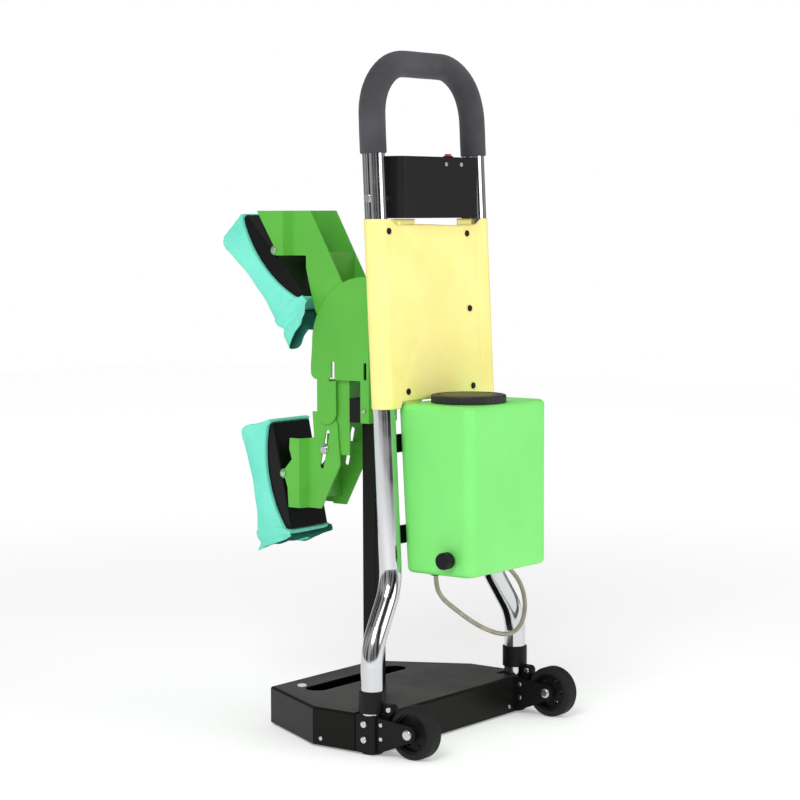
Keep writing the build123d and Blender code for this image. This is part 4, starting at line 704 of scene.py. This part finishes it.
# %% [markdown]
# Each head carries a sponge in a tray, and a wiping cloth is pulled over the sponge. The section
# across the head is a deep U that hugs the handrail. It is carried along the head as a closed
# form, and a cloth simulation with a little pressure inside then swells it, as a filled cover
# does. Both heads start from the same form, worked out once in the head's own directions:
# across, towards the handrail, and along.

# %% Head form
HALF, GROOVE, GROOVE_FLOOR, TIP = 0.0492, 0.0385, 0.0378, 0.0742
TOP_ROUND, LOW_ROUND = 0.020, 0.010
HEAD_LOW, HEAD_HIGH = -0.0912, 0.0852
TRAY_LOW, TRAY_HIGH = -0.0846, 0.0786
RIM_PEAK, RIM_RADIUS, RIM_SHIFT = 0.0320, 0.195, 0.006
HOLLOW_DEPTH, END_ROUND, CORNER_ROUND = 0.0076, 0.005, 0.0052


def rounded_loop(corners, radii, step):
    """Closed line through corners, each replaced by a tangent arc, sampled every step."""
    corners = np.array(corners)
    before = np.roll(corners, 1, axis=0) - corners
    after = np.roll(corners, -1, axis=0) - corners
    before /= np.linalg.norm(before, axis=1)[:, None]
    after /= np.linalg.norm(after, axis=1)[:, None]
    half_angle = np.arccos(np.clip((before * after).sum(axis=1), -1, 1)) / 2
    reach = np.array(radii) / np.tan(half_angle)
    t = np.linspace(0, 1, 7)[None, :, None]
    first = (corners + before * reach[:, None])[:, None, :]
    last = (corners + after * reach[:, None])[:, None, :]
    bent = (1 - t) ** 2 * first + 2 * t * (1 - t) * corners[:, None, :] + t ** 2 * last
    line = bent.reshape(-1, 2)
    line = np.concatenate([line, line[:1]])
    along = np.concatenate([[0], np.cumsum(np.linalg.norm(np.diff(line, axis=0), axis=1))])
    s = np.arange(0, along[-1], step)
    return np.stack([np.interp(s, along, line[:, k]) for k in (0, 1)], axis=1)


def rim_line(u):
    """How far forward the tray's arched rim lies at a place along the head."""
    return RIM_PEAK - RIM_RADIUS + np.sqrt(RIM_RADIUS ** 2 - (u + RIM_SHIFT) ** 2)


def rounding(radius, past):
    """How far a quarter-round edge has fallen back at a distance past its start."""
    return radius - np.sqrt(np.maximum(radius ** 2 - past ** 2, 0))


def head_form():
    """U section whose back follows the tray's arched rim and whose front is hollowed."""
    back = 0.0
    right = [(GROOVE, GROOVE_FLOOR), (GROOVE, TIP), (HALF, TIP), (HALF, back)]
    radii = [0.004, CORNER_ROUND, CORNER_ROUND, 0.0006]
    loop = rounded_loop(right + [(-x, n) for x, n in right[::-1]], radii + radii[::-1], 0.0022)
    ends = END_ROUND * (1 - np.cos(np.linspace(0, math.pi / 2, 6)))
    u = np.concatenate([HEAD_LOW + ends, np.linspace(HEAD_LOW + 0.0062, TRAY_LOW, 2),
                        np.linspace(TRAY_LOW, TRAY_HIGH, 64),
                        np.linspace(TRAY_HIGH, HEAD_HIGH - 0.0062, 2), HEAD_HIGH - ends[::-1]])
    on_tray = np.ones(len(u), bool)
    on_tray[:8] = False
    on_tray[-8:] = False
    back_n = np.where(on_tray, rim_line(u), 0.0068)
    middle = (HEAD_LOW + HEAD_HIGH) / 2
    half_length = (HEAD_HIGH - HEAD_LOW) / 2
    hollow = HOLLOW_DEPTH * (1 - ((u - middle) / half_length) ** 2)
    past_top = np.maximum(u - (HEAD_HIGH - TOP_ROUND), 0)
    past_low = np.maximum(HEAD_LOW + LOW_ROUND - u, 0)
    hollow += rounding(TOP_ROUND, past_top)
    hollow += rounding(LOW_ROUND, past_low)
    n = loop[None, :, 1]
    behind = back_n[:, None] + (GROOVE_FLOOR - back_n[:, None]) * n / GROOVE_FLOOR
    ahead = GROOVE_FLOOR + (n - GROOVE_FLOOR) * (TIP - hollow[:, None] - GROOVE_FLOOR) / (
        TIP - GROOVE_FLOOR)
    n_of = np.where(n < GROOVE_FLOOR, behind, ahead)
    edge = np.minimum(u - HEAD_LOW, HEAD_HIGH - u)
    inset = rounding(END_ROUND, np.maximum(END_ROUND - edge, 0))
    step = np.roll(loop, -1, axis=0) - np.roll(loop, 1, axis=0)
    inward = np.stack([-step[:, 1], step[:, 0]], axis=1)
    inward /= np.linalg.norm(inward, axis=1)[:, None]
    area = 0.5 * np.sum(loop[:, 0] * np.roll(loop[:, 1], -1) - np.roll(loop[:, 0], -1) * loop[:, 1])
    inward *= np.sign(area)
    x = loop[None, :, 0] + inset[:, None] * inward[None, :, 0]
    n_of = n_of + inset[:, None] * inward[None, :, 1] * (n_of > 0.012)
    return np.stack([x, n_of, np.broadcast_to(u[:, None], x.shape)], axis=2)


form = grid_piece("head_form", head_form(), closed=True, caps=True)
outward(form)
remesh = form.modifiers.new("even_grid", "REMESH")
remesh.mode = "VOXEL"
remesh.voxel_size = 0.0032
depsgraph = bpy.context.evaluated_depsgraph_get()
even_mesh = bpy.data.meshes.new_from_object(form.evaluated_get(depsgraph))
bpy.data.objects.remove(form)
print("head form vertices", len(even_mesh.vertices))


# %% [markdown]
# The form is filled like a cushion: a few frames of cloth simulation with pressure inside push
# the soft faces out. Each point's move is capped at 2.2 mm, so the cover keeps its size, and it
# fades to nothing at the tray's rim, where the cover is held. Nothing in it is random.

# %% Swell the cover


def vertex_array(mesh):
    """All vertex places of a mesh as an array."""
    flat = np.empty(len(mesh.vertices) * 3)
    mesh.vertices.foreach_get("co", flat)
    return flat.reshape(-1, 3)


def swelled(mesh, pressure, limit, frames):
    """Places after some frames under pressure; moves are capped at limit and fade at the tray."""
    start = vertex_array(mesh)
    body = bpy.data.objects.new("swelling", mesh)
    bpy.context.scene.collection.objects.link(body)
    cloth = body.modifiers.new("cover", "CLOTH")
    cloth.settings.quality = 5
    cloth.settings.mass = 0.15
    cloth.settings.tension_stiffness = 12
    cloth.settings.compression_stiffness = 12
    cloth.settings.bending_stiffness = 0.6
    cloth.settings.use_pressure = True
    cloth.settings.uniform_pressure_force = pressure
    cloth.settings.effector_weights.gravity = 0
    scene = bpy.context.scene
    for number in range(1, frames + 1):
        scene.frame_set(number)
    graph = bpy.context.evaluated_depsgraph_get()
    moved = bpy.data.meshes.new_from_object(body.evaluated_get(graph))
    end = vertex_array(moved)
    bpy.data.objects.remove(body)
    scene.frame_set(1)
    move = end - start
    size = np.linalg.norm(move, axis=1)
    keep = np.minimum(1, limit / np.maximum(size, 1e-9))
    fade = np.clip((start[:, 1] - rim_line(start[:, 2]) - 0.001) / 0.012, 0, 1)
    print("mean swell in mm", round(1000 * float(size.mean()), 2))
    return start + move * (keep * fade)[:, None]


swelled_places = swelled(even_mesh, pressure=4.0, limit=0.0022, frames=16)
faces_of_cover = [tuple(face.vertices) for face in even_mesh.polygons]

# %% [markdown]
# The swelled form is set on each head, with shallow slack waves that differ between the two. The
# cloth itself is looped microfibre: small rounded loops, a soft sheen and a few damp patches.

# %% Wiping covers


def head_place(points, pivot, tilt):
    """From the head's directions (across, forward, along) to the machine's."""
    x, n, u = points[..., 0], points[..., 1], points[..., 2]
    cosine, sine = math.cos(tilt), math.sin(tilt)
    return np.stack([x, pivot[0] + n * cosine + u * sine, pivot[1] - n * sine + u * cosine],
                    axis=-1)


HEADS = {
    "upper": ((0.295 - ORIGIN_Y, 0.702), math.radians(43.5)),
    "lower": ((0.280 - ORIGIN_Y, 0.3655), math.radians(12.5)),
}


def slack(points, phase):
    """Shallow slack waves of the cover: long ones along it, finer ones near its ends."""
    x, n, u = points[:, 0], points[:, 1], points[:, 2]
    front = np.clip((n - 0.030) / 0.03, 0, 1)
    near_end = np.exp(-((np.abs(u + 0.003) - 0.088) / 0.018) ** 2)
    waves = 0.0004 * np.sin(u * 120 + x * 60 + phase) * front
    pleats = 0.0007 * np.sin(n * 420 + phase * 2 + 3 * np.sign(x)) * near_end
    out = np.sign(x) * (waves + pleats) * np.clip(np.abs(x) / 0.045, 0, 1) ** 4
    return points + np.stack([out, 0.6 * waves * front, 0 * u], axis=1)


def cloth_finish():
    """Looped microfibre: short soft loops, a bright nap and faint damp patches."""
    finish, tree, shader = new_finish("wiping_cloth", 0.85)
    where = place_of(tree)
    damp = noise(tree, where, 13.0, 4.0)
    tree.links.new(drift(tree, damp, (0.155, 0.720, 0.560), (0.215, 0.860, 0.680)),
                   shader.inputs["Base Color"])
    loops = tree.nodes.new("ShaderNodeTexVoronoi")
    loops.inputs["Scale"].default_value = 620.0
    tree.links.new(where, loops.inputs["Vector"])
    looped = bump(tree, loops.outputs["Distance"], 0.0005)
    creased = bump(tree, noise(tree, where, 55.0, 3.0), 0.0007, looped)
    tree.links.new(creased, shader.inputs["Normal"])
    shader.inputs["Sheen Weight"].default_value = 0.35
    shader.inputs["Sheen Roughness"].default_value = 0.4
    shader.inputs["Sheen Tint"].default_value = (0.75, 1.0, 0.92, 1.0)
    return finish


cloth_look = cloth_finish()
for number, (which, (pivot, tilt)) in enumerate(HEADS.items()):
    places = head_place(slack(swelled_places, 1.3 * number), pivot, tilt)
    mesh = bpy.data.meshes.new(which + "_wiping_cover")
    mesh.from_pydata(places.tolist(), [], faces_of_cover)
    mesh.shade_smooth()
    mesh.materials.append(cloth_look)
    cover = bpy.data.objects.new(which + "_wiping_cover", mesh)
    bpy.context.scene.collection.objects.link(cover)
    finer = cover.modifiers.new("finer", "SUBSURF")
    finer.levels = 1
    finer.render_levels = 1
    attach(cover, which + "_head")
    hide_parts(which + "_cleaning_cloth", which + "_sponge_pad")
    print(cover.name, "faces", len(mesh.polygons))

# %% [markdown]
# Below each head the cover ends in a loose hem. It is a strip that follows the whole U section,
# also inside the groove. It is drawn in under the cover's end, hangs by an uneven drop, and
# ripples more the further down it goes. Its inside is darker: partly the cloth's darker back,
# partly painted shade where the inside of the hem lies in shadow. The drops on the near side
# are read from the photograph, in metres along the strip, and the rest is guessed from them.

# %% Loose hems
HEM_GAP, HEM_TOP, HEM_BACK, HEM_FRONT, HEM_BEND = 0.0006, -0.078, 0.004, 0.0728, 0.005
HEM_FALL, HEM_FALL_REACH, HEM_FLARE = 0.0095, 0.012, 0.0042
CREASE_DOWN, CREASE_WIDTH, CREASE_DEPTH = 0.0195, 0.0065, 0.0050


def hem_line():
    """Line round the U section, a little outside the cover, from one back edge to the other."""
    side, inner, inside = HALF + HEM_GAP, GROOVE - HEM_GAP, GROOVE_FLOOR + HEM_GAP
    left = [(-side, HEM_BACK), (-side, HEM_FRONT), (-inner, HEM_FRONT), (-inner, inside)]
    corners = np.array(left + [(-x, n) for x, n in left[::-1]])
    t = np.linspace(0, 1, 9)[:, None]
    line = [corners[:1]]
    for before, corner, after in zip(corners, corners[1:], corners[2:]):
        first = corner + (before - corner) / np.linalg.norm(before - corner) * HEM_BEND
        last = corner + (after - corner) / np.linalg.norm(after - corner) * HEM_BEND
        line.append((1 - t) ** 2 * first + 2 * t * (1 - t) * corner + t ** 2 * last)
    return np.concatenate(line + [corners[-1:]])


def hem_surface(marks, drops, phase, rows=34, cols=250):
    """Strip at (s, t): base(s) + normal(s) * out(s, t), from top(s) down by t of the drop at s."""
    line = hem_line()
    along = np.concatenate([[0], np.cumsum(np.linalg.norm(np.diff(line, axis=0), axis=1))])
    s = np.linspace(0, along[-1], cols)
    base = np.stack([np.interp(s, along, line[:, k]) for k in (0, 1)], axis=1)
    tangent = np.gradient(base, axis=0)
    tangent /= np.linalg.norm(tangent, axis=1)[:, None]
    normal = np.stack([-tangent[:, 1], tangent[:, 0]], axis=1)
    drop = np.interp(s, marks, drops)
    drop = np.convolve(np.pad(drop, 4, mode="edge"), np.ones(9) / 9, mode="valid")
    t = np.linspace(0, 1, rows)[:, None]
    below = t * drop[None, :] - CREASE_DOWN
    drawn_in = CREASE_DEPTH * np.exp(-(below / CREASE_WIDTH) ** 2)
    ripple = 0.0022 * np.sin(s * 120 + phase) + 0.0009 * np.sin(s * 290 + 2 * phase)
    out = ripple[None, :] * t ** 2 + HEM_FLARE * t ** 2 - drawn_in
    x = base[None, :, 0] + normal[None, :, 0] * out
    n = base[None, :, 1] + normal[None, :, 1] * out
    from_back = np.minimum(s, along[-1] - s)
    top = HEM_TOP - HEM_FALL * np.exp(-(from_back / HEM_FALL_REACH) ** 2)
    u = top[None, :] - t * (drop + top - HEM_TOP)[None, :] + 0 * x
    return np.stack([x, n, u], axis=2), along[-1]


def back_and_painted_shade_finish():
    """Darker woven back of the cloth, darkened further by painted shade."""
    finish, tree, shader = new_finish("cloth_back_and_painted_shade", 0.9, specular=0.2)
    where = place_of(tree)
    cloud = noise(tree, where, 30.0)
    # Painted shade: these dark teals are the cloth's turquoise darkened for the shaded inside, on
    # top of a real darker back.
    tree.links.new(drift(tree, cloud, (0.016, 0.120, 0.095), (0.028, 0.180, 0.145)),
                   shader.inputs["Base Color"])
    tree.links.new(bump(tree, noise(tree, where, 800.0, 2.0), 0.0003), shader.inputs["Normal"])
    return finish


back_and_painted_shade = back_and_painted_shade_finish()
HEM_MARKS = [0, 0.011, 0.036, 0.054, 0.066, 0.080, 0.096, 0.112, 0.130, 0.150, 0.170, 0.186,
             0.204, 0.220, 0.234, 0.250, 0.272, 0.300]
HEM_DROPS = {
    "upper": [0.022, 0.034, 0.040, 0.044, 0.051, 0.055, 0.048, 0.043, 0.047, 0.042, 0.046, 0.041,
              0.045, 0.050, 0.047, 0.042, 0.038, 0.024],
    "lower": [0.017, 0.020, 0.024, 0.026, 0.031, 0.027, 0.024, 0.026, 0.023, 0.025, 0.022, 0.025,
              0.027, 0.024, 0.029, 0.025, 0.022, 0.018],
}
for number, (which, (pivot, tilt)) in enumerate(HEADS.items()):
    places, hem_length = hem_surface(HEM_MARKS, HEM_DROPS[which], 0.8 + 2.1 * number)
    hem = grid_piece(which + "_hem", head_place(places[::-1], pivot, tilt))
    hem.data.materials.append(cloth_look)
    hem.data.materials.append(back_and_painted_shade)
    thick = hem.modifiers.new("thickness", "SOLIDIFY")
    thick.thickness = 0.0011
    thick.offset = 0.0
    # The inner shell takes the dark back, which carries painted shade.
    thick.material_offset = 1
    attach(hem, which + "_head")
